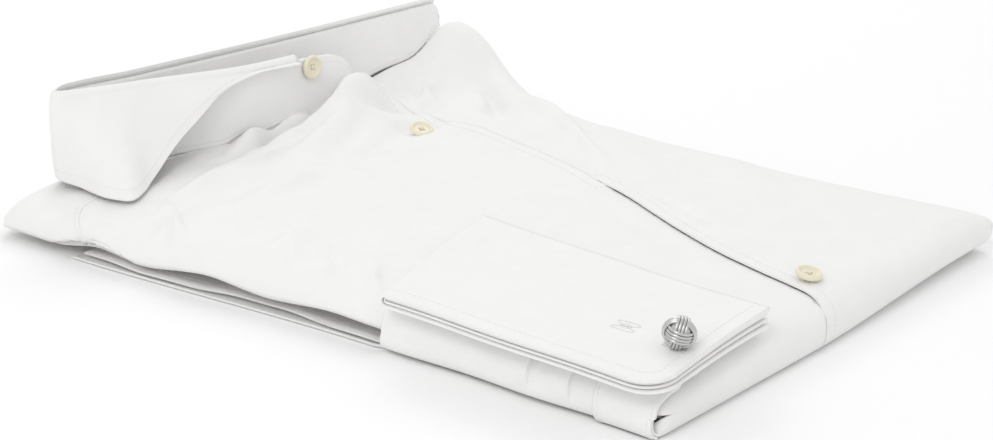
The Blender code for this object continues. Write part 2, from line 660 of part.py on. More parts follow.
def main():
    """Clears the scene and builds the shirt."""
    for item in list(bpy.data.objects):
        bpy.data.objects.remove(item)
    shirt = bpy.data.collections.new("dress_shirt")
    cutters = bpy.data.collections.new("cutters")
    bpy.context.scene.collection.children.link(shirt)
    bpy.context.scene.collection.children.link(cutters)
    front("right", shirt)
    front("left", shirt)
    yoke(shirt)
    hidden_layers(shirt)
    back_tail(shirt)
    sleeve(shirt)
    sleeve_placket(shirt)
    turned = cuff_layer("cuff_turnback", CUFF_RADIUS, 0.0, shirt)
    under = cuff_layer("cuff_under", CUFF_RADIUS - CUFF_WALL - GAP, 0.0010, shirt)
    cuff_link((turned, under), shirt, cutters)
    collar_stand(shirt)
    collar_leaf(shirt)
    foot, top, out = collar_frame(np.array([BUTTON_S]))
    face = foot[0] + (top - foot)[0] * BUTTON_SHARE + out[0] * (STAND_WALL / 2 + GAP)
    lean = (top - foot)[0]
    button("button_collar", face, np.cross(np.cross(lean, out[0]), lean), shirt)
    for name, x, y, tilt in FRONT_BUTTONS:
        side = "right" if x < float(along_rows(EDGE_ROWS, 1, y)) else "left"
        place = body_point(side, np.array(x), np.array(y), 1) + np.array([0, 0, GAP + BUTTON_RAISE])
        button(name, place, tilt, shirt)


main()
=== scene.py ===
"""A long sleeve dress shirt with double cuffs, folded for a shelf, its collar up and its right cuff on top.

The shirt lies on its folded-under tails. +Y runs up to the collar, +X to the wearer's left, +Z up. Each
cloth piece is a thin closed shell worked out on a grid, with its pressed creases, stitching and weave.
"""

import logging
import math
from dataclasses import dataclass
from enum import Enum

import bpy
import numpy as np
from mathutils import Matrix, Vector


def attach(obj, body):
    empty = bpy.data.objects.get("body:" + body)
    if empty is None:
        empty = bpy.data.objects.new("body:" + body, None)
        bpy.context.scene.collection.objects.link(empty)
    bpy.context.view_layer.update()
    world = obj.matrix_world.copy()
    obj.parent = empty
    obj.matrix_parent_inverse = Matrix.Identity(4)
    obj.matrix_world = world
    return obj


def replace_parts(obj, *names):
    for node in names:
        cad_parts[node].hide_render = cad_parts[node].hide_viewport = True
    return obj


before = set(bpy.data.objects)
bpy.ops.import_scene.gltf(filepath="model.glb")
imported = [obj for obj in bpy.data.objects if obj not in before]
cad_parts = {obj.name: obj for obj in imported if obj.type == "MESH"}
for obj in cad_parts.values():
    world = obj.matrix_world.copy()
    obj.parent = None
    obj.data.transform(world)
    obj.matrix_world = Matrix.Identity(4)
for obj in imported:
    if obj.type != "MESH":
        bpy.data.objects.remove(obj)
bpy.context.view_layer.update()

Grid = np.ndarray
Table = tuple[tuple[float, ...], ...]
LOG = logging.getLogger("dress_shirt")
BODY = "root"
GAP = 0.0003
TINY = 1e-12
UP = np.array([0.0, 0.0, 1.0])


def smooth(value: Grid) -> Grid:
    """Soft step: three t squared less two t cubed, for t held between 0 and 1."""
    t = np.clip(value, 0.0, 1.0)
    return t * t * (3 - 2 * t)


def rounding(distance: Grid, reach: Grid, power: float = 2.4) -> Grid:
    """Share of full height inside a rounded edge, a superellipse quarter.

    Args:
        distance: how far inside the edge.
        reach: where the rounding ends.
        power: exponent of the superellipse, 2 for a true ellipse.

    Returns:
        0 at the edge, rising to 1 at the reach and past it.
    """
    inside = 1 - np.clip(distance / reach, 0.0, 1.0)
    return (1 - inside**power) ** (1 / power)


def along(rows: Table, column: int, value: Grid) -> Grid:
    """Cubic Hermite curve through one column of a table over its first, slopes from its neighbours.

    Args:
        rows: the table, its first column rising.
        column: the column to follow.
        value: where to read it.

    Returns:
        The column's value there.
    """
    at = np.array([row[0] for row in rows])
    of = np.array([row[column] for row in rows])
    slope = np.gradient(of, at)
    value = np.clip(value, at[0], at[-1])
    i = np.clip(np.searchsorted(at, value, side="right") - 1, 0, len(at) - 2)
    step = at[i + 1] - at[i]
    t = (value - at[i]) / step
    start = (1 + 2 * t) * (1 - t) ** 2 * of[i] + t * (1 - t) ** 2 * step * slope[i]
    return start + t * t * (3 - 2 * t) * of[i + 1] + t * t * (t - 1) * step * slope[i + 1]


def eased(count: int, reach: float) -> Grid:
    """Distances inside a rounded edge from its reach down to 0: reach times one less the sine."""
    return reach * (1 - np.sin(np.linspace(0, math.pi / 2, count + 1)[1:]))


def unit(vectors: Grid) -> Grid:
    """Vectors brought to length one, each divided by its own length."""
    return vectors / np.maximum(np.linalg.norm(vectors, axis=-1, keepdims=True), TINY)


def bell(distance: Grid, reach: Grid) -> Grid:
    """Gaussian of a distance: e to the minus square of it over its reach."""
    return np.exp(-((distance / reach) ** 2))


def normals(grid: Grid) -> Grid:
    """Unit normals of a grid: across its columns crossed with along its rows."""
    return unit(np.cross(np.gradient(grid, axis=1), np.gradient(grid, axis=0)))


def lengths(grid: Grid) -> Grid:
    """UV of a grid in metres: distance run along its columns and along its rows, from its corner."""
    over = np.linalg.norm(np.diff(grid, axis=1), axis=-1)
    down = np.linalg.norm(np.diff(grid, axis=0), axis=-1)
    u = np.concatenate([np.zeros((grid.shape[0], 1)), np.cumsum(over, axis=1)], axis=1)
    v = np.concatenate([np.zeros((1, grid.shape[1])), np.cumsum(down, axis=0)], axis=0)
    return np.stack([u, v], axis=-1)


class Side(Enum):
    """One side of the shirt: which way it lies, reach of its rounding, height of its rim."""

    RIGHT = (-1, 0.0150, 0.0090)
    LEFT = (1, 0.0340, 0.0115)

    @property
    def sign(self) -> int:
        """-1 for the wearer's right and 1 for the left."""
        return self.value[0]

    @property
    def reach(self) -> float:
        """How far in its top edge is rounded."""
        return self.value[1]

    @property
    def rim(self) -> float:
        """Height of its widest line."""
        return self.value[2]


@dataclass(frozen=True)
class Crumple:
    """Uneven softness of worn cloth: plane waves over space, each bent by a slower one."""

    seed: int = 7
    count: int = 26
    shortest: float = 0.014
    longest: float = 0.070
    height: float = 0.00030
    gain: float = 2.2
    warp: float = 1.4
    warp_length: float = 0.11
    calm: float = 0.30
    calm_to_y: float = -0.03
    calm_run: float = 0.10

    def rise(self, points: Grid) -> Grid:
        """Sum of sines, each as high as its share of the longest wavelength, warped by slow sines.

        It is calmest at the bottom fold and grows fuller towards the chest.

        Args:
            points: grid of places.

        Returns:
            Distance to move each place along its normal.
        """
        draw = np.random.RandomState(self.seed)
        total = np.zeros(points.shape[:-1])
        for share in np.linspace(0, 1, self.count):
            length = self.longest * (self.shortest / self.longest) ** share
            way = unit(draw.normal(size=3) * np.array([1.0, 1.0, 0.6]))
            phase, slow = draw.uniform(0, math.tau, 2)
            bend = self.warp * np.sin(points @ draw.normal(size=3) * math.tau / self.warp_length + slow)
            wave = np.sin(points @ way * math.tau / length + phase + bend)
            total += wave * length / self.longest
        fuller = self.calm + (1 - self.calm) * smooth((points[..., 1] - self.calm_to_y) / self.calm_run)
        return total * fuller * self.height * self.gain / math.sqrt(self.count)


@dataclass(frozen=True)
class Creases:
    """The main creases, each along a bowed line, with an uneven soft profile."""

    depth: float = 1.6
    step_gain: float = 1.6
    uneven_width: float = 0.35
    uneven_rise: float = 0.25
    rows: Table = (
        # start x, start y, end x, end y, half width, rise, step across it, bow
        (0.0230, 0.1080, -0.0450, 0.0990, 0.0034, 0.0024, 0.0, 0.004),
        (0.0140, 0.1105, -0.0330, 0.1075, 0.0040, -0.0046, 0.0, 0.002),
        (0.0020, 0.1140, -0.0480, 0.1130, 0.0034, 0.0040, 0.0, 0.001),
        (-0.0160, 0.1120, -0.0620, 0.1060, 0.0030, -0.0024, 0.0, 0.002),
        (-0.0400, 0.1060, -0.0950, 0.0990, 0.0055, 0.0016, 0.0008, 0.003),
        (0.0480, 0.0700, 0.0180, 0.0800, 0.0060, -0.0014, 0.0, 0.003),
        (0.0500, 0.0870, -0.0360, 0.0880, 0.0050, -0.0022, 0.0006, -0.008),
        (0.0260, 0.0880, -0.0820, 0.0640, 0.0080, 0.0016, 0.0008, 0.008),
        (0.0050, 0.0560, -0.1120, 0.0780, 0.0070, 0.0008, 0.0007, 0.006),
        (-0.0300, 0.0420, -0.1180, 0.0500, 0.0100, 0.0009, -0.0007, -0.006),
        (-0.1060, 0.0960, -0.1290, 0.0680, 0.0035, 0.0022, 0.0016, 0.003),
        (-0.1020, 0.0860, -0.1290, 0.0900, 0.0040, -0.0020, 0.0010, 0.001),
        (-0.1010, 0.0300, -0.1260, 0.0080, 0.0050, 0.0014, 0.0010, 0.002),
        (-0.0940, 0.0040, -0.1240, -0.0150, 0.0050, -0.0014, 0.0006, 0.002),
        (-0.0900, 0.0180, -0.1250, 0.0330, 0.0045, 0.0010, 0.0004, -0.002),
        (-0.0980, -0.0120, -0.1250, -0.0360, 0.0035, 0.0010, 0.0006, 0.002),
        (0.1020, 0.1000, 0.0760, 0.0300, 0.0050, 0.0014, 0.0004, 0.004),
        (0.1010, 0.1060, 0.0700, 0.0560, 0.0050, -0.0036, 0.0, 0.004),
        (0.0930, 0.1130, 0.0560, 0.0880, 0.0045, 0.0028, 0.0, -0.003),
        (0.0980, 0.0650, 0.0360, -0.0290, 0.0050, 0.0016, 0.0006, 0.006),
        (0.1010, 0.0700, 0.0700, 0.0040, 0.0070, -0.0009, 0.0004, 0.008),
        (0.1130, -0.0200, 0.0500, -0.0900, 0.0150, 0.0006, 0.0004, 0.010),
        (0.0340, -0.0480, 0.0200, -0.0960, 0.0035, -0.0010, 0.0, 0.001),
        (0.0060, -0.0400, -0.0160, -0.1100, 0.0050, -0.0006, 0.0, 0.002),
    )

    def rise(self, x: Grid, y: Grid) -> Grid:
        """Each crease adds a Gaussian of its distance and a stepped slope, fading to its ends.

        Args:
            x: places across the shirt.
            y: places along it.

        Returns:
            Height to add.
        """
        total = 0 * (x + y)
        for x0, y0, x1, y1, width, rise, step, bow in self.rows:
            long = math.hypot(x1 - x0, y1 - y0)
            t = ((x - x0) * (x1 - x0) + (y - y0) * (y1 - y0)) / long**2
            off = ((y - y0) * (x1 - x0) - (x - x0) * (y1 - y0)) / long
            off = off - bow * np.sin(math.pi * np.clip(t, 0, 1))
            uneven = width * (1 + self.uneven_width * np.sin(9.0 * t + 60 * x0))
            ends = smooth((t + 0.15) / 0.35) * smooth((1.15 - t) / 0.45)
            height = (rise + step * off / uneven * self.step_gain) * bell(off, uneven)
            total = total + ends * height * (1 + self.uneven_rise * np.sin(5 * t + 90 * y0))
        return total * self.depth


@dataclass(frozen=True)
class FoldedBody:
    """The folded stack that every panel follows: its plan, its crowned top and its flat tail."""

    half_width: float = 0.1215
    near_flare: float = 0.0092
    near_flare_y: float = -0.04
    near_flare_run: float = 0.18
    far_flare: float = 0.0045
    far_flare_y: float = -0.06
    far_flare_run: float = 0.10
    shoulder_y: float = 0.1750
    fold_y: float = -0.1745
    corner: float = 0.0060
    fold_rim: float = 0.0100
    fold_bulge: float = 0.0150
    fold_bulge_below: float = 0.0080
    fold_loose: float = 0.0180
    fold_slant: float = 0.0030
    roll_bulge: float = 0.0160
    tail_bulge: float = 0.0030
    tail_rim: float = 0.0018
    shoulder_drop: float = 0.0040
    drop_y: float = 0.112
    drop_run: float = 0.03
    under_edge: float = 0.007
    under_roll: float = 0.008
    sags: Table = (
        # y, half length, how far the near rim sags there
        (0.0880, 0.0160, 0.0022),
        (0.0500, 0.0140, -0.0014),
        (0.0180, 0.0150, 0.0012),
        (-0.0150, 0.0140, -0.0008),
    )
    neck_depth: float = 0.0040
    neck_ramp: float = 0.006
    neck_end_x: float = 0.050
    crown_power: float = 2.5
    rim_wave: float = 0.0007
    rim_hang: float = 0.0020
    far_rise: float = 0.0030
    far_from_x: float = -0.02
    far_run: float = 0.14
    rim_run: float = 0.03
    slant_run: float = 0.06
    yoke_seam_y: float = 0.1310
    seam_drop: float = 0.0170
    end_ramp: float = 0.010
    crossing_y: float = -0.0320
    crossing_run: float = 0.03
    edge_lift: float = 0.0016
    lift_reach: float = 0.0250
    left_end_x: float = 0.1045
    split_x: float = 0.0260
    foot_clear: float = 0.0012
    tail_hem_y: float = 0.1280
    tail_top: float = 0.0036
    sleeve_from_y: float = -0.1600
    sleeve_to_y: float = -0.0420
    sleeve_room: float = 0.0095
    drawn_run: float = 0.0060
    drawn_past: float = 0.004
    drawn_out: float = 0.012
    crown_rows: Table = (
        # y, height, share at the right side, share at the left side
        (-0.1745, 0.0205, 0.80, 0.98),
        (-0.1500, 0.0218, 0.78, 0.92),
        (-0.1000, 0.0245, 0.76, 0.78),
        (-0.0300, 0.0280, 0.74, 0.67),
        (0.0400, 0.0305, 0.72, 0.68),
        (0.1000, 0.0320, 0.66, 0.76),
        (0.1400, 0.0300, 0.68, 0.80),
        (0.1750, 0.0225, 0.78, 0.80),
    )
    fold_rows: Table = (
        # x, y, heading in degrees, half length, half width, rise
        (0.1150, 0.1110, 98.0, 0.026, 0.019, 0.0370),
        (0.0930, 0.0650, 76.0, 0.052, 0.017, 0.0060),
        (0.0800, 0.1240, 178.0, 0.030, 0.012, 0.0100),
        (0.0240, 0.1040, 200.0, 0.030, 0.010, 0.0165),
        (-0.0200, 0.0880, 200.0, 0.040, 0.012, 0.0060),
        (0.0100, 0.0720, 186.0, 0.050, 0.012, -0.0030),
    )
    edge_rows: Table = (
        # y, x of the front edge that shows
        (-0.1745, -0.0145),
        (-0.1130, -0.0025),
        (-0.0320, 0.0275),
        (0.0540, 0.0455),
        (0.0950, 0.0455),
        (0.1180, 0.0340),
    )
    right_foot: Table = (
        # x, y of the collar's foot in front
        (-0.1085, 0.1505),
        (-0.1050, 0.1475),
        (-0.0740, 0.1340),
        (-0.0350, 0.1190),
        (0.0130, 0.1145),
        (0.0330, 0.1150),
    )
    left_foot: Table = (
        # x, y of the collar's foot behind
        (-0.1085, 0.1505),
        (-0.1050, 0.1530),
        (-0.0680, 0.1470),
        (0.0200, 0.1340),
        (0.1040, 0.1230),
    )
    creases: Creases = Creases()
    crumple: Crumple = Crumple()

    def rim_x(self, side: Side, y: Grid) -> Grid:
        """X of a side's widest line: half the width, a soft flare, less a circle at each corner."""
        near = self.near_flare * smooth((y - self.near_flare_y) / self.near_flare_run)
        far = self.far_flare * smooth((self.far_flare_y - y) / self.far_flare_run)
        width = self.half_width + (near if side is Side.RIGHT else far)
        for distance in (y - self.fold_y, self.shoulder_y - y):
            inside = 1 - np.clip(distance / self.corner, 0.0, 1.0)
            width = width - self.corner * (1 - np.sqrt(1 - inside**2))
        return side.sign * width

    def tail_rim_x(self, side: Side, y: Grid) -> Grid:
        """X of a tail's edge: the rim, drawn in on the right where the sleeve comes out."""
        drawn = smooth((y - self.sleeve_from_y) / self.drawn_run + 1)
        drawn = drawn * smooth((self.sleeve_to_y + self.drawn_past - y) / self.drawn_out)
        return self.rim_x(side, y) + (self.sleeve_room * drawn if side is Side.RIGHT else 0)

    def foot_y(self, side: Side, x: Grid) -> Grid:
        """Y of the collar's foot over x, read along its table for that side."""
        rows = self.right_foot if side is Side.RIGHT else self.left_foot
        return np.interp(x, [row[0] for row in rows], [row[1] for row in rows])

    def seam_y(self, side: Side, x: Grid) -> Grid:
        """Y where a front ends: just in front of the collar's foot, or at the yoke seam outside it."""
        inward = np.abs(self.rim_x(side, np.array(self.yoke_seam_y)) - x)
        seam = self.yoke_seam_y - self.seam_drop * (1 - rounding(inward, side.reach))
        limit = self.foot_y(side, x) - self.foot_clear
        if side is Side.LEFT:
            limit = limit + (seam - limit) * smooth((x - self.left_end_x) / self.end_ramp)
        return np.minimum(seam, limit)

    def top(self, x: Grid, y: Grid, raised: Grid) -> Grid:
        """Height of the stack before its edges are rounded.

        The crown falls off as the 2.5th power of x; each large fold adds a Gaussian of the distance
        along and across it; the neck between the collar's two runs is hollowed.

        Args:
            x: places across.
            y: places along.
            raised: share of the folds that shows there.

        Returns:
            Height of the upper face.
        """
        share = np.where(x < 0, along(self.crown_rows, 2, y), along(self.crown_rows, 3, y))
        fall = (1 - share) * np.abs(x / self.half_width) ** self.crown_power
        height = along(self.crown_rows, 1, y) * (1 - fall)
        folds = 0.0
        for fold_x, fold_y, heading, length, width, rise in self.fold_rows:
            cos, sin = math.cos(math.radians(heading)), math.sin(math.radians(heading))
            forward = (x - fold_x) * cos + (y - fold_y) * sin
            across = (y - fold_y) * cos - (x - fold_x) * sin
            folds = folds + rise * bell(forward, length) * bell(across, width)
        folds = folds + self.creases.rise(x, y)
        inside = smooth((y - self.foot_y(Side.RIGHT, x)) / self.neck_ramp)
        inside = inside * smooth((self.foot_y(Side.LEFT, x) - y) / self.neck_ramp)
        inside = inside * smooth((self.neck_end_x - x) / 0.02)
        return height + folds * raised - self.neck_depth * inside

    def lift(self, side: Side, x: Grid, y: Grid) -> Grid:
        """How far the front edge on top stands above the one beneath: a Gaussian of its distance."""
        share = self.on_top(side, y)
        return self.edge_lift * share * bell(x - along(self.edge_rows, 1, y), self.lift_reach)

    def on_top(self, side: Side, y: Grid) -> Grid:
        """1 where this side's front edge is the one on top, 0 where it is beneath."""
        above = smooth((y - self.crossing_y) / self.crossing_run + 0.5)
        return above if side is Side.RIGHT else 1 - above

    def point(self, side: Side, x: Grid, y: Grid, half: Grid, raised: Grid) -> Grid:
        """Point of the outer face.

        Above the rim the height runs from the rim to the stack's top by the product of the three
        edges' roundings; below it the cloth drops to the ground by two of them.

        Args:
            side: which side's rounding it has.
            x: place across.
            y: place along.
            half: 1 above the rim and -1 below it.
            raised: share of the folds that shows there.

        Returns:
            Grid of points.
        """
        far = smooth((x - self.far_from_x) / self.far_run)
        inward = np.abs(self.rim_x(side, y) - x)
        fold_rim = self.fold_rim + self.far_rise * far
        rim = fold_rim + (self.rim_z(side, y) - fold_rim) * smooth((y - self.fold_y) / self.rim_run)
        fullness = rounding(inward, side.reach) * rounding(y - self.fold_y, self.fold_bulge)
        fullness = fullness * rounding(self.shoulder_y - y, self.roll_bulge)
        above = rim + (self.top(x, y, raised) + self.lift(side, x, y) - rim) * fullness
        reach = self.fold_bulge_below + self.fold_loose * far
        low_rim = fold_rim + (self.tail_rim - fold_rim) * np.clip((y - self.fold_y) / (reach + 0.004), 0, 1)
        edge = np.abs(self.tail_rim_x(side, y) - x)
        below = low_rim * (1 - rounding(edge, self.tail_bulge) * rounding(y - self.fold_y, reach))
        slanted = y + self.fold_slant * far * (1 - smooth((y - self.fold_y) / self.slant_run))
        return np.stack([x + 0 * y, slanted + 0 * x, np.where(half > 0, above, below)], axis=-1)

    def rim_z(self, side: Side, y: Grid) -> Grid:
        """Height of a side's widest line: lower at the shoulder, and sagging unevenly on the near side."""
        height = side.rim - self.shoulder_drop * smooth((y - self.drop_y) / self.drop_run)
        for at, reach, sag in self.sags if side is Side.RIGHT else ():
            height = height - sag * bell(y - at, reach)
        return height

    def under_point(self, side: Side, x: Grid, y: Grid) -> Grid:
        """Point of the stack's own underside: from the rim down to it by the edges' roundings."""
        inward = np.abs(self.rim_x(side, y) - x)
        fullness = rounding(inward, self.under_edge, 2.0)
        fullness = fullness * rounding(self.shoulder_y - y, self.under_roll, 2.0)
        rim = self.rim_z(side, y)
        wavy = rim - self.rim_hang + self.rim_wave * (1 + np.sin(y * 88.0) * np.sin(y * 41.0 + 1.0)) / 2
        return np.stack([x + 0 * y, y + 0 * x, rim - (rim - wavy) * fullness + 0 * x], axis=-1)


@dataclass(frozen=True)
class Weave:
    """A plain woven cotton: colour, softness, thread pitch and how fused and flat it lies."""

    name: str
    colour: tuple[float, float, float] = (0.880, 0.877, 0.868)
    roughness: float = 0.78
    sheen: float = 0.12
    pitch: float = 0.00042
    crumple: float = 0.00030
    band_scale: float = 0.314
    relief: float = 0.00004
    patches: float = 70.0

    def material(self) -> bpy.types.Material:
        """Shader: a warp and a weft wave over the UV and a soft crumple make the bump.

        Returns:
            The new material.
        """
        material = bpy.data.materials.new(self.name)
        material.use_nodes = True
        tree = material.node_tree
        shader = tree.nodes["Principled BSDF"]
        shader.inputs["Roughness"].default_value = self.roughness
        shader.inputs["Specular IOR Level"].default_value = 0.25
        shader.inputs["Sheen Weight"].default_value = self.sheen
        shader.inputs["Sheen Roughness"].default_value = 0.5
        uv = tree.nodes.new("ShaderNodeUVMap")
        uv.uv_map = "cloth"
        threads = []
        for direction in ("X", "Y"):
            wave = tree.nodes.new("ShaderNodeTexWave")
            wave.bands_direction = direction
            wave.inputs["Scale"].default_value = self.band_scale / self.pitch
            wave.inputs["Distortion"].default_value = 0.6
            wave.inputs["Detail"].default_value = 1.0
            tree.links.new(uv.outputs["UV"], wave.inputs["Vector"])
            threads.append(wave)
        cross = tree.nodes.new("ShaderNodeMath")
        cross.operation = "MULTIPLY"
        for socket, wave in zip(cross.inputs, threads):
            tree.links.new(wave.outputs["Fac"], socket)
        place = tree.nodes.new("ShaderNodeTexCoord")
        soft = tree.nodes.new("ShaderNodeTexNoise")
        soft.inputs["Scale"].default_value = self.patches
        soft.inputs["Detail"].default_value = 4.0
        soft.inputs["Distortion"].default_value = 0.8
        tree.links.new(place.outputs["Object"], soft.inputs["Vector"])
        shade = tree.nodes.new("ShaderNodeValToRGB")
        shade.color_ramp.elements[0].position = 0.3
        shade.color_ramp.elements[0].color = (*(0.975 * part for part in self.colour), 1.0)
        shade.color_ramp.elements[1].position = 0.7
        shade.color_ramp.elements[1].color = (*self.colour, 1.0)
        tree.links.new(soft.outputs["Fac"], shade.inputs["Fac"])
        tree.links.new(shade.outputs["Color"], shader.inputs["Base Color"])
        fine = self.bump(tree, cross.outputs[0], 0.35, self.relief)
        broad = self.bump(tree, soft.outputs["Fac"], 0.6, self.crumple)
        tree.links.new(fine.outputs["Normal"], broad.inputs["Normal"])
        tree.links.new(broad.outputs["Normal"], shader.inputs["Normal"])
        return material

    @staticmethod
    def bump(
        tree: bpy.types.NodeTree, height: bpy.types.NodeSocket, strength: float, distance: float
    ) -> bpy.types.Node:
        """Bump node over a height.

        Args:
            tree: the material's nodes.
            height: output that gives the height.
            strength: share of the bump used.
            distance: depth in metres.

        Returns:
            The new node.
        """
        node = tree.nodes.new("ShaderNodeBump")
        node.inputs["Strength"].default_value = strength
        node.inputs["Distance"].default_value = distance
        tree.links.new(height, node.inputs["Height"])
        return node


@dataclass(frozen=True)
class Solid:
    """A hard, thread or stage finish: colour, roughness, metal share and a faint mottle."""

    name: str
    colour: tuple[float, float, float]
    roughness: float
    metallic: float = 0.0
    mottle: float = 0.04
    scale: float = 900.0
    relief: float = 0.00002

    def material(self) -> bpy.types.Material:
        """Shader: noise over the place mottles the colour and gives a slight relief.

        Returns:
            The new material.
        """
        material = bpy.data.materials.new(self.name)
        material.use_nodes = True
        tree = material.node_tree
        shader = tree.nodes["Principled BSDF"]
        shader.inputs["Roughness"].default_value = self.roughness
        shader.inputs["Metallic"].default_value = self.metallic
        place = tree.nodes.new("ShaderNodeTexCoord")
        noise = tree.nodes.new("ShaderNodeTexNoise")
        noise.inputs["Scale"].default_value = self.scale
        tree.links.new(place.outputs["Object"], noise.inputs["Vector"])
        shade = tree.nodes.new("ShaderNodeValToRGB")
        shade.color_ramp.elements[0].color = (*(part * (1 - self.mottle) for part in self.colour), 1.0)
        shade.color_ramp.elements[1].color = (*self.colour, 1.0)
        tree.links.new(noise.outputs["Fac"], shade.inputs["Fac"])
        tree.links.new(shade.outputs["Color"], shader.inputs["Base Color"])
        bump = Weave.bump(tree, noise.outputs["Fac"], 0.4, self.relief)
        tree.links.new(bump.outputs["Normal"], shader.inputs["Normal"])
        return material


class Finish(Enum):
    """Every finish, by the record's slot it belongs to."""

    POPLIN = ("white_poplin", Weave("poplin_weave"))
    # Painted shade: the inner layers are the same white poplin, given a darker, warmer colour for the recess
    # they lie in.
    INSIDE = ("white_poplin", Weave("poplin_inside_painted_shade", colour=(0.850, 0.840, 0.820)))
    FUSED = ("fused_poplin", Weave("fused_weave", roughness=0.70, sheen=0.08, crumple=0.00012))
    THREAD = ("white_poplin", Solid("white_thread", (0.83, 0.83, 0.82), 0.55, relief=0.00001))
    SILK = ("fused_poplin", Solid("motif_silk", (0.77, 0.775, 0.78), 0.35, relief=0.00001))
    BUTTON = ("ivory_button", Solid("ivory_shell", (0.86, 0.80, 0.63), 0.30, mottle=0.10, scale=320.0))
    CORD = ("ivory_button", Solid("button_thread", (0.88, 0.84, 0.72), 0.60))
    SILVER = ("silver_knot", Solid("knot_wire", (0.66, 0.66, 0.65), 0.28, metallic=1.0, mottle=0.15))
    POST = ("silver_post", Solid("post_metal", (0.70, 0.70, 0.69), 0.25, metallic=1.0))

    def put_on(self, piece: bpy.types.Object) -> None:
        """Gives a piece this finish and its body.

        Args:
            piece: the finished object.
        """
        name, finish = self.value
        made = bpy.data.materials.get(finish.name) or finish.material()
        piece.data.materials.clear()
        piece.data.materials.append(made)
        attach(piece, BODY)


def add_piece(
    name: str, verts: Grid, faces: Grid, uv: Grid, finish: Finish, flat: Grid = None, caps: tuple = ()
) -> bpy.types.Object:
    """Makes a mesh object from arrays.

    Args:
        name: its name.
        verts: places, one row each.
        faces: quads of vertex numbers, turned to face out.
        uv: UV of each vertex in metres.
        finish: what it is made of.
        flat: which faces are shaded flat, if any.
        caps: lists of vertex numbers that close its ends.

    Returns:
        The new object, at the origin.
    """
    mesh = bpy.data.meshes.new(name)
    mesh.from_pydata(np.ascontiguousarray(verts).tolist(), [], [*faces.tolist(), *caps])
    corners = np.empty(len(mesh.loops), dtype=np.int32)
    mesh.loops.foreach_get("vertex_index", corners)
    layer = mesh.uv_layers.new(name="cloth")
    layer.data.foreach_set("uv", uv[corners].astype(np.float32).ravel())
    smooth_faces = np.ones(len(faces), dtype=bool) if flat is None else ~flat
    mesh.polygons.foreach_set("use_smooth", np.concatenate([smooth_faces, np.ones(len(caps), dtype=bool)]))
    mesh.update()
    piece = bpy.data.objects.new(name, mesh)
    bpy.context.scene.collection.objects.link(piece)
    finish.put_on(piece)
    LOG.info("%s: %d faces", name, len(faces))
    return piece


def quads(numbers: Grid) -> Grid:
    """Quads of a grid of vertex numbers, facing across its columns crossed with along its rows."""
    corners = (numbers[:-1, :-1], numbers[:-1, 1:], numbers[1:, 1:], numbers[1:, :-1])
    return np.stack(corners, axis=-1).reshape(-1, 4)


def shell(name: str, outer: Grid, inner: Grid, finish: Finish) -> bpy.types.Object:
    """Closed cloth between two grids of one size, walled all round their edges.

    Args:
        name: its name.
        outer: the face that shows, its normals pointing out.
        inner: the face behind it.
        finish: what it is made of.

    Returns:
        The new object.
    """
    rows, columns = outer.shape[:2]
    top = np.arange(rows * columns).reshape(rows, columns)
    low = top + rows * columns
    faces = [quads(top), quads(low[:, ::-1])]
    faces += [quads(np.stack([low[0], top[0]])), quads(np.stack([top[-1], low[-1]]))]
    faces += [quads(np.stack([top[:, 0], low[:, 0]])), quads(np.stack([low[:, -1], top[:, -1]]))]
    walls = sum(len(part) for part in faces[2:])
    faces = np.concatenate(faces)
    flat = np.zeros(len(faces), dtype=bool)
    flat[len(faces) - walls:] = True
    verts = np.concatenate([outer.reshape(-1, 3), inner.reshape(-1, 3)])
    uv = np.concatenate([lengths(outer).reshape(-1, 2)] * 2)
    return add_piece(name, verts, faces, uv, finish, flat)


def tube(name: str, rings: Grid, finish: Finish) -> bpy.types.Object:
    """Closed skin over rings joined round, each end drawn in onto its middle and capped.

    Args:
        name: its name.
        rings: rings of points, one row each, counterclockwise seen from the last ring.
        finish: what it is made of.

    Returns:
        The new object.
    """
    rings = np.concatenate([shrunk(rings[0]), rings, shrunk(rings[-1])])
    rows, columns = rings.shape[:2]
    numbers = np.arange(rows * columns).reshape(rows, columns)
    faces = quads(np.concatenate([numbers, numbers[:, :1]], axis=1))
    uv = lengths(rings).reshape(-1, 2)
    caps = (numbers[0, ::-1].tolist(), numbers[-1].tolist())
    return add_piece(name, rings.reshape(-1, 3), faces, uv, finish, caps=caps)


def shrunk(ring: Grid) -> Grid:
    """A ring drawn in onto its middle to a thousandth of its size."""
    middle = ring.mean(axis=0)
    return (middle + (ring - middle) * 0.001)[None]


def resampled(path: Grid, step: float) -> Grid:
    """Fractional numbers of evenly spaced places along a path, half a step in from its ends."""
    run = np.concatenate([[0.0], np.cumsum(np.linalg.norm(np.diff(path, axis=0), axis=1))])
    at = np.arange(step / 2, run[-1] - step / 4, step)
    return np.interp(at, run, np.arange(len(path)))


def pick(path: Grid, number: Grid) -> Grid:
    """Path read at fractional numbers, each column linear between its points."""
    whole = np.arange(len(path))
    return np.stack([np.interp(number, whole, column) for column in path.T], axis=1)


class Edge(Enum):
    """One edge of a grid."""

    START = "first column"
    END = "last column"
    LOW = "first row"
    HIGH = "last row"

    def turned(self, grid: Grid) -> Grid:
        """The grid turned so that this edge becomes its first column."""
        if self is Edge.START:
            return grid
        if self is Edge.END:
            return grid[:, ::-1]
        return (grid if self is Edge.LOW else grid[::-1]).swapaxes(0, 1)


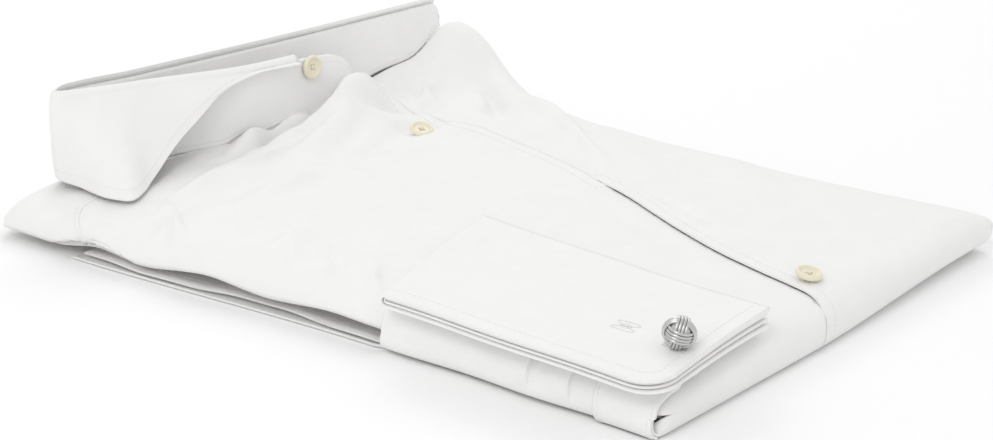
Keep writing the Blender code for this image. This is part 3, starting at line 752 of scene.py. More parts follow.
def inset(
    grid: Grid, edge: Edge, distance: float, span: tuple[float, float] = (0.0, 1.0)
) -> tuple[Grid, Grid]:
    """The line at a distance in from one edge of a grid, and the normals along it.

    Args:
        grid: the face it lies on.
        edge: the edge it follows.
        distance: how far in, measured over the cloth.
        span: the share of the edge that it follows.

    Returns:
        Its points and normals.
    """
    both = edge.turned(np.concatenate([grid, normals(grid)], axis=-1))
    run = lengths(both[..., :3])[..., 0]
    number = np.clip((run < distance).sum(axis=1) - 1, 0, both.shape[1] - 2)
    row = np.arange(len(both))
    share = (distance - run[row, number]) / np.maximum(run[row, number + 1] - run[row, number], 1e-9)
    share = np.clip(share, 0, 1)[:, None]
    line = both[row, number] * (1 - share) + both[row, number + 1] * share
    line = line[int(span[0] * (len(line) - 1)): int(span[1] * (len(line) - 1)) + 1]
    return line[:, :3], line[:, 3:]


@dataclass(frozen=True)
class Stitching:
    """Lines of single-needle stitches, each a low capsule of thread lying in the cloth."""

    length: float = 0.0019
    spacing: float = 0.0025
    width: float = 0.00028
    height: float = 0.00012
    proud: float = 0.3
    sides: int = 6

    def capsules(self, places: Grid, along_way: Grid, up_way: Grid) -> tuple[Grid, Grid]:
        """Vertices and quads of a capsule at each place: a circle's radius eased to both ends.

        Args:
            places: middles.
            along_way: unit vectors along each stitch.
            up_way: normals of the cloth.

        Returns:
            All vertices and all quads.
        """
        step = np.array([-0.5, -0.36, 0.36, 0.5])
        size = np.array([0.18, 1.0, 1.0, 0.18])
        angle = np.arange(self.sides) * math.tau / self.sides
        across = np.cross(up_way, along_way)
        ring = (
            places[:, None, None] + along_way[:, None, None] * (step * self.length)[None, :, None, None]
            + across[:, None, None] * (size[:, None] * np.cos(angle))[None, ..., None] * self.width / 2
            + up_way[:, None, None] * (size[:, None] * np.sin(angle))[None, ..., None] * self.height
        )
        count = len(places)
        numbers = np.arange(count * 4 * self.sides).reshape(count, 4, self.sides)
        wrapped = np.concatenate([numbers, numbers[..., :1]], axis=2)
        corners = (wrapped[:, :-1, :-1], wrapped[:, :-1, 1:], wrapped[:, 1:, 1:], wrapped[:, 1:, :-1])
        sides = np.stack(corners, axis=-1).reshape(-1, 4)
        low, high = numbers[:, 0], numbers[:, -1]
        caps = [low[:, [3, 2, 1, 0]], low[:, [5, 4, 3, 0]], high[:, [0, 1, 2, 3]], high[:, [0, 3, 4, 5]]]
        return ring.reshape(-1, 3), np.concatenate([sides, *caps])

    def sew(self, name: str, lines: list[tuple[Grid, Grid]], finish: Finish) -> bpy.types.Object:
        """One object of all the stitches along some lines.

        Args:
            name: its name.
            lines: pairs of points and normals.
            finish: the thread.

        Returns:
            The new object.
        """
        verts, faces, start = [], [], 0
        for path, normal in lines:
            number = resampled(path, self.spacing)
            place, up_way = pick(path, number), unit(pick(normal, number))
            ahead, behind = np.minimum(number + 0.5, len(path) - 1), np.maximum(number - 0.5, 0)
            way = unit(pick(path, ahead) - pick(path, behind))
            up_way -= way * (way * up_way).sum(axis=1, keepdims=True)
            some, quad = self.capsules(place + up_way * self.height * self.proud, way, up_way)
            verts.append(some)
            faces.append(quad + start)
            start += len(some)
        verts = np.concatenate(verts)
        verts[:, 2] = np.maximum(verts[:, 2], 0.0)
        return add_piece(name, verts, np.concatenate(faces), verts[:, :2], finish)


@dataclass(frozen=True)
class Panels:
    """Fronts, yoke, folded layers and tails, all on the body's own surface."""

    body: FoldedBody = FoldedBody()
    stitching: Stitching = Stitching()
    wall: float = 0.0008
    underlap: float = 0.0100
    underlap_drop: float = 0.0010
    underlap_ramp: float = 0.003
    underlap_share: float = 0.4
    underlap_from_fold: float = 0.012
    end_run: float = 0.04
    hem: float = 0.0060
    hem_groove: float = 0.00022
    groove_width: float = 0.0010
    pucker: float = 0.00012
    pucker_waves: float = 900.0
    pucker_width: float = 0.0030
    split_ramp: float = 0.004
    seam_lap: float = 0.0010
    lap_run: float = 0.005
    lap_thinned: float = 0.3
    seam_rise: float = 0.0004
    hidden_inset: float = 0.0032
    hidden_drop: float = 0.0048
    hidden_from_fold: float = 0.004
    hidden_from_roll: float = 0.0012
    hidden_least: float = 0.0010
    rim_calm: float = 0.001
    rim_run: float = 0.008
    soft_from_z: float = 0.004
    soft_run: float = 0.006
    tail_from_fold: float = 0.036
    tail_set_in: float = 0.004
    tail_near_in: float = 0.003
    tail_drop: float = 0.0004
    tail_edge_wave: float = 0.0012
    tail_waves: tuple[float, float] = (0.00035, 0.0002)
    front_cut: tuple[float, float] = (0.150, 0.640)
    yoke_cut: tuple[float, float] = (0.290, 0.060)
    back_tail_cut: tuple[float, float] = (0.243, 0.265)
    right_sewn: tuple[float, float] = (0.30, 1.0)
    left_sewn: tuple[float, float] = (0.0, 0.78)
    yoke_sewn: Table = ((0.0, 0.22), (0.90, 1.0))
    yoke_seam_in: float = 0.0028
    top_rows: int = 200
    fold_rows: int = 16
    under_rows: int = 18
    tail_rows: int = 50
    yoke_rows: tuple[int, int] = (26, 18)
    hidden_rows: tuple[int, int, int] = (12, 150, 14)
    back_tail_grid: tuple[int, int] = (120, 60)
    flat_columns: int = 104
    eased_columns: int = 16

    def rows(self) -> tuple[Grid, Grid]:
        """Y and side of each row of a front: over the top, round the bottom fold, under to its hem."""
        b = self.body
        reach = b.fold_bulge_below + b.fold_loose
        parts = (
            (np.linspace(b.yoke_seam_y, b.fold_y + b.fold_bulge, self.top_rows), 1),
            (b.fold_y + eased(self.fold_rows, b.fold_bulge), 1),
            (b.fold_y + eased(self.under_rows, reach)[-2::-1], -1),
            (np.linspace(b.fold_y + reach, b.tail_hem_y, self.tail_rows), -1),
        )
        y = np.concatenate([part for part, _ in parts])
        half = np.concatenate([np.full(len(part), side) for part, side in parts])
        return y[:, None], half[:, None]

    def columns(self, side: Side, rim: Grid, edge: Grid) -> Grid:
        """X of each column from an edge out to the rim, closer together as the cloth turns down."""
        even = np.linspace(0, 1, self.flat_columns)[None, :]
        flat = even * (rim - side.sign * side.reach - edge) + edge
        turned = rim - side.sign * eased(self.eased_columns, side.reach)[None, :]
        return np.concatenate([flat, turned], axis=1)

    def inward(self, face: Grid) -> Grid:
        """How far each point of a face lies inside the widest line of its own side."""
        rims = [self.body.rim_x(side, face[..., 1]) for side in Side]
        return np.abs(np.where(face[..., 0] < 0, *rims) - face[..., 0])

    def softened(self, face: Grid, share: Grid = 1.0) -> Grid:
        """A face moved along its normals by the cloth's crumple, which dies out at the rims."""
        inside = smooth((self.inward(face) - self.rim_calm) / self.rim_run)
        rise = self.body.crumple.rise(face) * share * inside
        return face + normals(face) * rise[..., None]

    def inner(self, outer: Grid, share: Grid = 1.0) -> Grid:
        """The face behind, a wall's thickness along the normals, which are level at the rims."""
        normal = normals(outer)
        normal[..., 2] *= smooth(self.inward(outer) / self.wall)
        return outer - unit(normal) * self.wall * share

    def front(self, side: Side) -> None:
        """Makes one front with its tail, its front edge and its hem stitched.

        Args:
            side: which front.
        """
        b, sign = self.body, side.sign
        y, half = self.rows()
        top = half > 0
        line = np.where(top, along(b.edge_rows, 1, y), b.edge_rows[0][1])
        beneath = smooth((self.underlap_share - b.on_top(side, y)) / self.underlap_share) * top
        beneath = beneath * smooth((y - b.fold_y) / self.underlap_from_fold)
        edge = line + sign * (GAP / 2 - self.underlap * beneath)
        x = self.columns(side, np.where(top, b.rim_x(side, y), b.tail_rim_x(side, y)), edge)
        end = (b.seam_y(side, x) - b.yoke_seam_y) * smooth((y - b.yoke_seam_y) / self.end_run + 1)
        outer = b.point(side, x, np.where(top, y + end, y), half, 1.0)
        edge_rise = b.tail_rim * (1 - rounding(np.abs(b.tail_rim_x(side, y) - x), b.tail_bulge))
        outer[..., 2] = np.where(top, outer[..., 2], np.maximum(outer[..., 2], edge_rise))
        outer[..., 2] -= self.underlap_drop * smooth(sign * (line - x) / self.underlap_ramp) * top
        from_hem = np.abs(x - edge) - self.hem
        outer[..., 2] -= self.hem_groove * bell(from_hem, self.groove_width) * top
        outer[..., 2] += self.pucker * np.sin(y * self.pucker_waves) * bell(from_hem, self.pucker_width) * top
        outer = outer[::-1, ::-1] if sign < 0 else outer[::-1]
        top = top[::-1]
        high = smooth((outer[..., 2] - self.soft_from_z) / self.soft_run)
        outer = self.softened(outer, np.where(top, high, 0.0))
        inner = self.inner(outer)
        for face in (outer, inner):
            face[..., 2] = np.maximum(face[..., 2], 0.0)
        name = "front_" + side.name.lower()
        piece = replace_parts(shell(name + "_cloth", outer, inner, Finish.POPLIN), name)
        shown, span = (Edge.END, self.right_sewn) if sign < 0 else (Edge.START, self.left_sewn)
        lines = [inset(outer, shown, self.hem, span), inset(outer, Edge.LOW, self.hem)]
        thread = self.stitching.sew(name + "_stitches", lines, Finish.THREAD)

    def whole(self, y: Grid, raised: Grid = 1.0, inset_by: float = 0.0) -> Grid:
        """X of each column from the right rim to the left rim, drawn in by a distance."""
        right = self.columns(Side.RIGHT, self.body.rim_x(Side.RIGHT, y) + inset_by, 0 * y)[:, ::-1]
        left = self.columns(Side.LEFT, self.body.rim_x(Side.LEFT, y) - inset_by, 0 * y)[:, 1:]
        return np.concatenate([right, left], axis=1) + 0 * raised

    def whole_top(self, x: Grid, y: Grid, raised: Grid) -> Grid:
        """Outer face over the whole width, with a share of the folds."""
        right, left = (self.body.point(side, x, y, np.array(1.0), raised) for side in Side)
        return np.where((x < 0)[..., None], right, left)

    def behind_collar(self, x: Grid) -> Grid:
        """Share of the folds that carries on past the collar: only beyond its left end."""
        return smooth((x - self.body.left_end_x + 0.001) / self.body.end_ramp)

    def yoke(self) -> None:
        """Makes the yoke: lapped over the front seams, back over the shoulder and down to the rim."""
        b = self.body
        turn_y = b.shoulder_y - b.roll_bulge
        flat, turned = self.yoke_rows
        rolled = b.shoulder_y - eased(turned, b.roll_bulge)
        y = np.concatenate([np.linspace(b.yoke_seam_y, turn_y, flat), rolled])[:, None]
        x = self.whole(y)
        start = np.where(x < b.split_x, b.seam_y(Side.RIGHT, x), b.seam_y(Side.LEFT, x)) - self.seam_lap
        behind = smooth((x - b.split_x) / self.split_ramp + 1) * (1 - smooth((x - b.left_end_x) / b.end_ramp))
        start = start + 3 * b.foot_clear * behind
        share = np.clip((y - b.yoke_seam_y) / (turn_y - b.yoke_seam_y), 0, 1)
        y = np.where(share < 1, start + (turn_y - start) * share, y)
        outer = self.softened(self.whole_top(x, y, self.behind_collar(x)))
        lap = (1 - smooth((y - start) / self.lap_run))[..., None]
        outer = outer + normals(outer) * self.seam_rise * lap
        inner = self.inner(outer, 1 - self.lap_thinned * lap)
        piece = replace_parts(shell("yoke_cloth", outer, inner, Finish.POPLIN), "yoke")
        seams = [inset(outer, Edge.LOW, self.yoke_seam_in, span) for span in self.yoke_sewn]
        thread = self.stitching.sew("yoke_stitches", seams, Finish.THREAD)

    def layers(self) -> None:
        """Makes the back, sides and far sleeve folded inside: one rounded solid with uneven edges."""
        b = self.body
        low_y, high_y = b.fold_y + self.hidden_from_fold, b.shoulder_y - self.hidden_from_roll
        first, between, last = self.hidden_rows
        middle = np.linspace(low_y + b.fold_bulge, high_y - b.roll_bulge, between)
        ends = low_y + eased(first, b.fold_bulge)[::-1], high_y - eased(last, b.roll_bulge)
        y = np.concatenate([ends[0], middle, ends[1]])[:, None]
        x = self.whole(y, inset_by=self.hidden_inset)
        upper = self.whole_top(x, y + 0 * x, 0.0)
        right, left = (b.under_point(side, x, y) for side in Side)
        lower = np.where((x < 0)[..., None], right, left)
        upper[..., 2] = np.maximum(upper[..., 2] - self.hidden_drop, lower[..., 2] + self.hidden_least)
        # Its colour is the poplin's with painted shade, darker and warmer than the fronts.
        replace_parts(shell("layers_inside", upper, lower, Finish.INSIDE), "hidden_layers")

    def back_tail(self) -> None:
        """Makes the back's tail, folded under the stack over the fronts' tails, its edge softly waved."""
        b = self.body
        rows, columns = self.back_tail_grid
        y = np.linspace(b.fold_y + self.tail_from_fold, b.tail_hem_y - self.tail_set_in, rows)[:, None]
        share = np.linspace(0, 1, columns)[None, :]
        right = b.tail_rim_x(Side.RIGHT, y) + self.tail_near_in + self.tail_edge_wave * np.sin(y * 57.0)
        x = right + (b.rim_x(Side.LEFT, y) - self.tail_set_in - right) * share
        slow, quick = self.tail_waves
        wave = slow * np.sin(y * 70.0 + 3 * share) + quick * np.sin(y * 190.0)
        upper = np.stack([x, y + 0 * x, b.tail_top - self.tail_drop + wave], axis=-1)
        lower = upper - np.array([0.0, 0.0, self.wall])
        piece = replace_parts(shell("back_tail_cloth", upper, lower, Finish.POPLIN), "back_tail")
        lines = [inset(upper, edge, self.hem) for edge in (Edge.START, Edge.HIGH)]
        thread = self.stitching.sew("back_tail_stitches", lines, Finish.THREAD)


@dataclass(frozen=True)
class Sleeve:
    """The right sleeve's end, round the stack's side to the cuff, with its pleats and placket."""

    panels: Panels
    from_y: float = -0.1712
    to_y: float = -0.0420
    outer: float = 0.0020
    wall: float = 0.0008
    over: float = 0.0120
    turn: float = 0.0030
    run_in: float = 0.0200
    sag: float = 0.0012
    low: float = 0.0012
    over_columns: int = 24
    side_columns: int = 19
    under_columns: int = 11
    placket_width: float = 0.0260
    placket_wall: float = 0.0009
    placket_columns: int = 39
    pleat_run: float = 0.0150
    pleat_end: int = 30
    pleat_fade: int = 12
    gather: float = 0.00030
    least_z: float = 0.0004
    cut: tuple[float, float] = (0.130, 0.055)
    placket_cut: tuple[float, float] = (0.026, 0.036)
    rows: int = 190
    placket_rows: int = 50
    edge_in: float = 0.003
    placket_edge_in: float = 0.0018
    pleats: Table = (
        # y of the fold, depth
        (-0.1340, 0.0019),
        (-0.1150, 0.0019),
    )

    def face(self, distance: float, y: Grid) -> Grid:
        """Face of the sleeve at a distance off the body: over the top, down the side and in beneath.

        Args:
            distance: how far off the body.
            y: column of places along.

        Returns:
            Grid with a row for each y.
        """
        b = self.panels.body
        rim = b.rim_x(Side.RIGHT, y)
        over = rim + self.over * (1 - np.linspace(0, 1, self.over_columns)[None, :]) ** 1.6
        base = b.point(Side.RIGHT, over, y, np.array(1.0), 1.0)
        normal = normals(base)
        normal[:, -1, 2] = 0.0
        upper = base - unit(normal) * distance
        angle = np.linspace(0, math.pi / 2, self.side_columns + 1)[None, 1:]
        low_z = self.low + self.outer + GAP - distance
        top_z = upper[:, -1:, 2]
        hollow = self.sag * np.sin(2 * angle) * (1 + 0.5 * np.sin(y * 95.0))
        x = rim + self.turn - (self.turn + distance) * np.cos(angle) - hollow
        lower = np.stack([x, y + 0 * x, top_z - (top_z - low_z) * np.sin(angle)], axis=-1)
        share = np.linspace(0, 1, self.under_columns + 1)[None, 1:]
        x = rim + self.turn + self.run_in * share * (0.04 + 0.96 * smooth((y - self.from_y - 0.008) / 0.018))
        climb = smooth((x - rim - self.turn) / (b.sleeve_room - 0.004))
        inside = np.stack([x, y + 0 * x, low_z + (b.tail_top + GAP - self.low) * climb], axis=-1)
        return np.concatenate([upper, lower, inside], axis=1)

    def pleat_rise(self, y: Grid) -> Grid:
        """How far the pleats stand proud: each steps up at its fold and runs out along the sleeve."""
        rise = 0 * y
        for fold_y, depth in self.pleats:
            past = (y - fold_y) / self.pleat_run
            rise = rise + depth * smooth(past * self.pleat_run / 0.0004) * np.clip(1 - past, 0, 1)
        return rise

    def soft(self, y: Grid, columns: int) -> Grid:
        """Soft gathers running round the sleeve, deeper towards the pleats."""
        round_it = np.linspace(0, 1, columns)[None, :]
        wave = np.sin(y * 210.0 + 2.5 * round_it) * 0.5 + np.sin(y * 470.0 - 3 * round_it) * 0.25
        return self.gather * wave * np.sin(math.pi * np.clip(round_it * 1.5, 0, 1))

    def build(self) -> None:
        """Makes the sleeve and its placket, each stitched."""
        even = np.linspace(self.from_y, self.to_y, self.rows)
        close = [row[0] + step for row in self.pleats for step in (-0.0001, 0.0001, 0.0003, 0.0005)]
        y = np.array(sorted({*even, *close}))[:, None]
        face = self.face(GAP + self.outer, y)
        columns = face.shape[1]
        shown = smooth((self.pleat_end - np.arange(columns)[None, :]) / self.pleat_fade)
        rise = self.pleat_rise(y) * shown + self.soft(y, columns)
        face = face[:, ::-1] + normals(face[:, ::-1]) * rise[:, ::-1, None]
        face[..., 2] = np.maximum(face[..., 2], self.least_z)
        inner = face - normals(face) * self.wall
        piece = shell("sleeve_cloth", face, inner, Finish.POPLIN)
        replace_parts(piece, "sleeve_right")
        edges = [inset(face, Edge.LOW, self.edge_in)]
        thread = self.panels.stitching.sew("sleeve_stitches", edges, Finish.THREAD)
        y = np.linspace(self.from_y, self.from_y + self.placket_width, self.placket_rows)[:, None]
        face = self.face(2 * GAP + self.outer + self.placket_wall, y)[:, self.placket_columns - 1::-1]
        strip = shell("sleeve_placket", face, face - normals(face) * self.placket_wall, Finish.POPLIN)
        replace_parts(strip, "sleeve_placket_right")
        edges = [inset(face, edge, self.placket_edge_in) for edge in (Edge.LOW, Edge.HIGH)]
        thread = self.panels.stitching.sew("sleeve_placket_stitches", edges, Finish.THREAD)


@dataclass(frozen=True)
class Cuff:
    """The double cuff, flattened: turned back on itself, its two ends lying together."""

    stitching: Stitching = Stitching()
    corners: Table = (
        # x, y, z at the middle of its thickness: sleeve edge first, looped end first
        (-0.1290, -0.0490, 0.0250),
        (-0.0490, -0.0330, 0.0312),
        (-0.1325, -0.1790, 0.0242),
        (-0.0530, -0.1730, 0.0265),
    )
    depth: float = 0.0800
    width: float = 0.1350
    wall: float = 0.0010
    radius: float = 0.0025
    corner: float = 0.0140
    crown: float = 0.0010
    fan: float = 0.6
    wave_long: float = 0.00035
    wave_short: float = 0.00018
    edge_rows: int = 90
    corner_rows: int = 24
    end_rows: int = 59
    inset: float = 0.0060
    link_u: float = 0.0290
    link_from_end: float = 0.0095
    hole: float = 0.0200
    hole_pitch: float = 0.00042
    hole_lip: float = 0.0009
    motif_u: float = 0.0330
    motif_v: float = 0.0985
    motif_size: tuple[float, float] = (0.0036, 0.0052)
    motif_ring: float = 0.45
    motif_steps: int = 400
    under_trim: float = 0.0010
    thinned: float = 0.8
    bend_columns: int = 24
    flat_columns: int = 50
    flat_rows: int = 110
    loop_rows: int = 13

    def point(self, u: Grid, v: Grid, w: Grid) -> Grid:
        """Point of the flattened cuff.

        The four corners are blended by both shares, the middle is crowned by a sine, and the layers
        fan apart towards the open end.

        Args:
            u: distance from its sleeve edge.
            v: distance from its looped end.
            w: height off its middle.

        Returns:
            Grid of points.
        """
        share_u, share_v = u / self.depth, v / self.width
        near_l, far_l, near_r, far_r = (np.array(row) for row in self.corners)
        base = (
            near_l * ((1 - share_u) * (1 - share_v))[..., None] + far_l * (share_u * (1 - share_v))[..., None]
            + near_r * ((1 - share_u) * share_v)[..., None] + far_r * (share_u * share_v)[..., None]
        )
        base[..., 2] += self.crown * np.sin(math.pi * np.clip(share_u, 0, 1)) + self.wave(share_u, share_v)
        base[..., 2] += w * (1 + self.fan * smooth((share_v - 0.6) / 0.4) * share_u)
        return base

    def wave(self, share_u: Grid, share_v: Grid) -> Grid:
        """Slow unevenness of a pressed, fused layer, in shares of its two sides."""
        long = np.sin(5.2 * share_v + 1.0) * np.sin(math.pi * share_u)
        return self.wave_long * long + self.wave_short * np.sin(11.0 * share_v - 4.0 * share_u)

    def layer(self, name: str, node: str, radius: float, trim: float, rests: str, parts: list) -> None:
        """Makes one half of the cuff: along the top, round the looped end, and back beneath.

        Args:
            name: the piece's name.
            node: the CAD node it stands for.
            radius: how far its outer face lies off the cuff's middle.
            trim: how far it is set in from the outer half.
            rests: what it lies on; not used.
            parts: the small pieces on it; not used.
        """
        run, bend = self.width - trim, self.corner + trim
        flat = np.linspace(bend, self.depth, self.flat_columns)[1:]
        u = np.concatenate([np.linspace(trim, bend, self.bend_columns), flat])[None, :]
        cut = self.corner * (1 - np.sqrt(1 - (1 - np.clip((u - trim) / self.corner, 0, 1)) ** 2))
        share = np.linspace(1, 0, self.flat_rows)[:, None]
        angle = np.linspace(0, math.pi, self.loop_rows + 2)[1:-1, None]
        faces = []
        for r in (radius, radius - self.wall * self.thinned):
            top = self.point(u + 0 * share, (run - cut) * share, r + 0 * share * u)
            loop = self.point(u + 0 * angle, -r * np.sin(angle) + 0 * u, r * np.cos(angle) + 0 * u)
            low = self.point(u + 0 * share, (run - cut) * share[::-1], -r + 0 * share * u)
            faces.append(np.concatenate([top, loop, low]))
        piece = shell(name, faces[0], faces[1], Finish.FUSED)
        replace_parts(piece, node)

    def line(self, u: Grid, v: Grid, radius: float) -> tuple[Grid, Grid]:
        """A line on the cuff's upper face and the normals along it."""
        return self.point(u, v, np.full_like(u, radius)), np.tile(UP, (len(u), 1))

    def edge_line(self, distance: float) -> tuple[Grid, Grid]:
        """Line at a distance inside the near edge, round the corner, and along the open end."""
        turn, end = self.corner - distance, self.width - self.corner
        angle = np.linspace(0, math.pi / 2, self.corner_rows)
        across = np.linspace(self.corner, self.depth - 0.001, self.end_rows + 1)[1:]
        u = np.concatenate([np.full(self.edge_rows, distance), self.corner - turn * np.cos(angle), across])
        down = np.full(self.end_rows, self.width - distance)
        v = np.concatenate([np.linspace(0.0, end, self.edge_rows), end + turn * np.sin(angle), down])
        return self.line(u, v, self.radius)

    def buttonhole(self) -> bpy.types.Object:
        """Worked buttonhole: close stitches across both lips of a slit."""
        post = self.width - self.link_from_end
        v = np.arange(post - self.hole * 0.36, post + self.hole * 0.2, self.hole_pitch)
        places, ways = [], []
        across = np.array([1.0, 0.1, 0.0]) / math.hypot(1.0, 0.1)
        for offset in (-self.hole_lip, self.hole_lip):
            place, _ = self.line(np.full_like(v, self.link_u + offset), v, self.radius + 0.0001)
            places.append(place)
            ways.append(np.tile(across, (len(v), 1)))
        places, ways = np.concatenate(places), np.concatenate(ways)
        close = Stitching(length=0.0014, width=0.00038, height=0.00020)
        verts, faces = close.capsules(places, ways, np.tile(UP, (len(places), 1)))
        return add_piece("buttonhole_thread", verts, faces, verts[:, :2], Finish.THREAD)

    def motif(self) -> bpy.types.Object:
        """Small embroidered motif: a figure of eight and a ring, in close satin stitches."""
        t = np.linspace(0, math.tau, self.motif_steps)
        long, wide = self.motif_size
        lines = []
        ring = self.motif_ring
        for u_wave, v_wave in ((np.sin(t), np.sin(2 * t)), (ring * np.cos(t), ring * np.sin(t))):
            lines.append(self.line(self.motif_u + long * u_wave, self.motif_v + wide * v_wave, self.radius))
        satin = Stitching(length=0.0009, spacing=0.00040, width=0.00044, height=0.00016)
        return satin.sew("cuff_motif", lines, Finish.SILK)

    def build(self) -> None:
        """Makes both halves with their stitching, buttonhole and motif."""
        thread = self.stitching.sew("cuff_stitches", [self.edge_line(self.inset)], Finish.THREAD)
        parts = [thread, self.buttonhole(), self.motif()]
        self.layer("cuff_turnback_cloth", "cuff_turnback", self.radius, 0.0, "cuff_under_cloth", parts)
        under = self.radius - self.wall - GAP
        self.layer("cuff_under_cloth", "cuff_under", under, self.under_trim, "front_right_cloth", [])


@dataclass(frozen=True)
class Collar:
    """The collar, standing: its band, and its leaf turned down outwards to the point."""

    panels: Panels
    stand_wall: float = 0.0018
    leaf_wall: float = 0.0014
    clear: float = 0.0010
    bow: float = 0.0015
    crease_s: float = 0.1580
    crease_reach: float = 0.014
    crease_clear: float = 0.0145
    crease_steps: int = 57
    step: float = 0.0016
    end_run: float = 0.004
    end_steps: int = 8
    end_height: float = 0.35
    end_round: float = 0.014
    loop_round: float = 0.005
    foot_drop: float = 0.0014
    foot_sink: float = 0.0016
    top_drop: float = 0.0005
    stand_wave: float = 0.0005
    stand_rows: int = 30
    roll_rows: int = 12
    fall_rows: int = 55
    bow_uneven: float = 0.35
    leaf_wave: float = 0.0004
    leaf_sewn: tuple[float, float] = (0.15, 0.97)
    inset: float = 0.0050
    foot_seam: float = 0.0025
    top_seam: float = 0.0030
    top_sewn: tuple[float, float] = (0.0, 0.10)
    stand_cut: tuple[float, float] = (0.400, 0.031)
    leaf_cut: tuple[float, float] = (0.342, 0.043)
    feelers: Table = ((0, 0), (0.004, 0), (-0.004, 0), (0, 0.003), (0, -0.003))
    rows: Table = (
        # distance along, x, y, foot height, top height, lean of the top along x, and along y
        (0.000, 0.0330, 0.1150, 0.0400, 0.0570, 0.0, 0.0040),
        (0.020, 0.0130, 0.1145, 0.0345, 0.0600, 0.0, 0.0030),
        (0.068, -0.0350, 0.1190, 0.0325, 0.0625, 0.0, 0.0010),
        (0.110, -0.0740, 0.1340, 0.0310, 0.0635, -0.0010, 0.0000),
        (0.150, -0.1050, 0.1475, 0.0280, 0.0640, -0.0050, 0.0000),
        (0.158, -0.1085, 0.1505, 0.0270, 0.0640, -0.0055, 0.0000),
        (0.166, -0.1050, 0.1530, 0.0280, 0.0640, -0.0050, 0.0005),
        (0.210, -0.0680, 0.1470, 0.0310, 0.0640, -0.0010, 0.0010),
        (0.300, 0.0200, 0.1340, 0.0330, 0.0640, 0.0, 0.0020),
        (0.385, 0.1040, 0.1230, 0.0330, 0.0655, 0.0, 0.0010),
    )
    leaf_rows: Table = (
        # distance along, x, y, z of the leaf's lower edge
        (0.0360, -0.0050, 0.1112, 0.0612),
        (0.0620, -0.0330, 0.1145, 0.0612),
        (0.0760, -0.0500, 0.1158, 0.0570),
        (0.0880, -0.0620, 0.1160, 0.0500),
        (0.1060, -0.0800, 0.1160, 0.0390),
        (0.1180, -0.0950, 0.1140, 0.0290),
        (0.1280, -0.1110, 0.1100, 0.0225),
        (0.1340, -0.1135, 0.1190, 0.0230),
        (0.1500, -0.1120, 0.1420, 0.0245),
        (0.1580, -0.1135, 0.1510, 0.0255),
        (0.1660, -0.1110, 0.1580, 0.0255),
        (0.2100, -0.0700, 0.1580, 0.0255),
        (0.3000, 0.0210, 0.1440, 0.0260),
        (0.3840, 0.1020, 0.1320, 0.0310),
    )

    def frame(self, s: Grid) -> tuple[Grid, Grid, Grid]:
        """Foot, top and outward direction of the collar at distances along it.

        Args:
            s: distances along.

        Returns:
            Three rows of points or directions.
        """
        x, y, foot, top, lean_x, lean_y = (along(self.rows, column, s) for column in range(1, 7))
        step = 0.001
        dx = along(self.rows, 1, s + step) - along(self.rows, 1, s - step)
        dy = along(self.rows, 2, s + step) - along(self.rows, 2, s - step)
        size = np.hypot(dx, dy)
        out = np.stack([-dy / size, dx / size, 0 * dx], axis=-1)
        return np.stack([x, y, foot], axis=-1), np.stack([x + lean_x, y + lean_y, top], axis=-1), out

    def steps(self, first: float, last: float) -> Grid:
        """Distances along the collar, closer together round its crease."""
        tight = self.crease_s + np.linspace(-self.crease_reach, self.crease_reach, self.crease_steps)
        loose = np.arange(first, last, self.step)
        return np.array(sorted({*loose[np.abs(loose - self.crease_s) > self.crease_clear], *tight, last}))

    def resting(self, x: Grid, y: Grid) -> Grid:
        """Height just clear of the cloth at and close round a place."""
        b, heights = self.panels.body, []
        for step_x, step_y in self.feelers:
            at_x, at_y = x + step_x, y + step_y
            seam = np.where(at_x < b.split_x, b.seam_y(Side.RIGHT, at_x), b.seam_y(Side.LEFT, at_x))
            raised = np.maximum(at_y < seam, self.panels.behind_collar(at_x))
            heights.append(self.panels.whole_top(at_x, at_y, raised)[..., 2])
        return np.max(heights, axis=0) + self.clear

    def stand(self) -> None:
        """Makes the band, with its two front ends rounded and its lower edge stitched."""
        end, run = self.rows[-1][0], self.end_run
        ends = np.linspace(0, run, self.end_steps)[:-1], np.linspace(end - run, end, self.end_steps)[1:]
        s = np.concatenate([ends[0], self.steps(run, end - run), ends[1]])
        foot, top, out = self.frame(s)
        resting = self.resting(foot[:, 0], foot[:, 1])
        foot[:, 2] = np.maximum(foot[:, 2] - self.foot_drop, resting - self.foot_sink)
        top[:, 2] -= self.top_drop
        rounded = rounding(s, self.end_round) * rounding(end - s, self.loop_round)
        full = self.end_height + (1 - self.end_height) * rounded
        share = np.linspace(0, 1, self.stand_rows)[None, :, None]
        middle = foot[:, None] + (top - foot)[:, None] * share * full[:, None, None]
        wave = self.stand_wave * np.sin(s * 120.0)[:, None, None] * np.sin(math.pi * share)
        middle = middle + out[:, None] * wave
        side = out[:, None] * self.stand_wall / 2
        outer, within = middle + side, middle - side
        piece = shell("collar_stand_cloth", outer, within, Finish.FUSED)
        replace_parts(piece, "collar_stand")
        lines = [
            inset(outer, Edge.START, self.foot_seam),
            inset(outer, Edge.END, self.top_seam, self.top_sewn),
            inset(within[:, ::-1], Edge.END, self.foot_seam),
        ]
        thread = self.panels.stitching.sew("collar_stand_stitches", lines, Finish.THREAD)

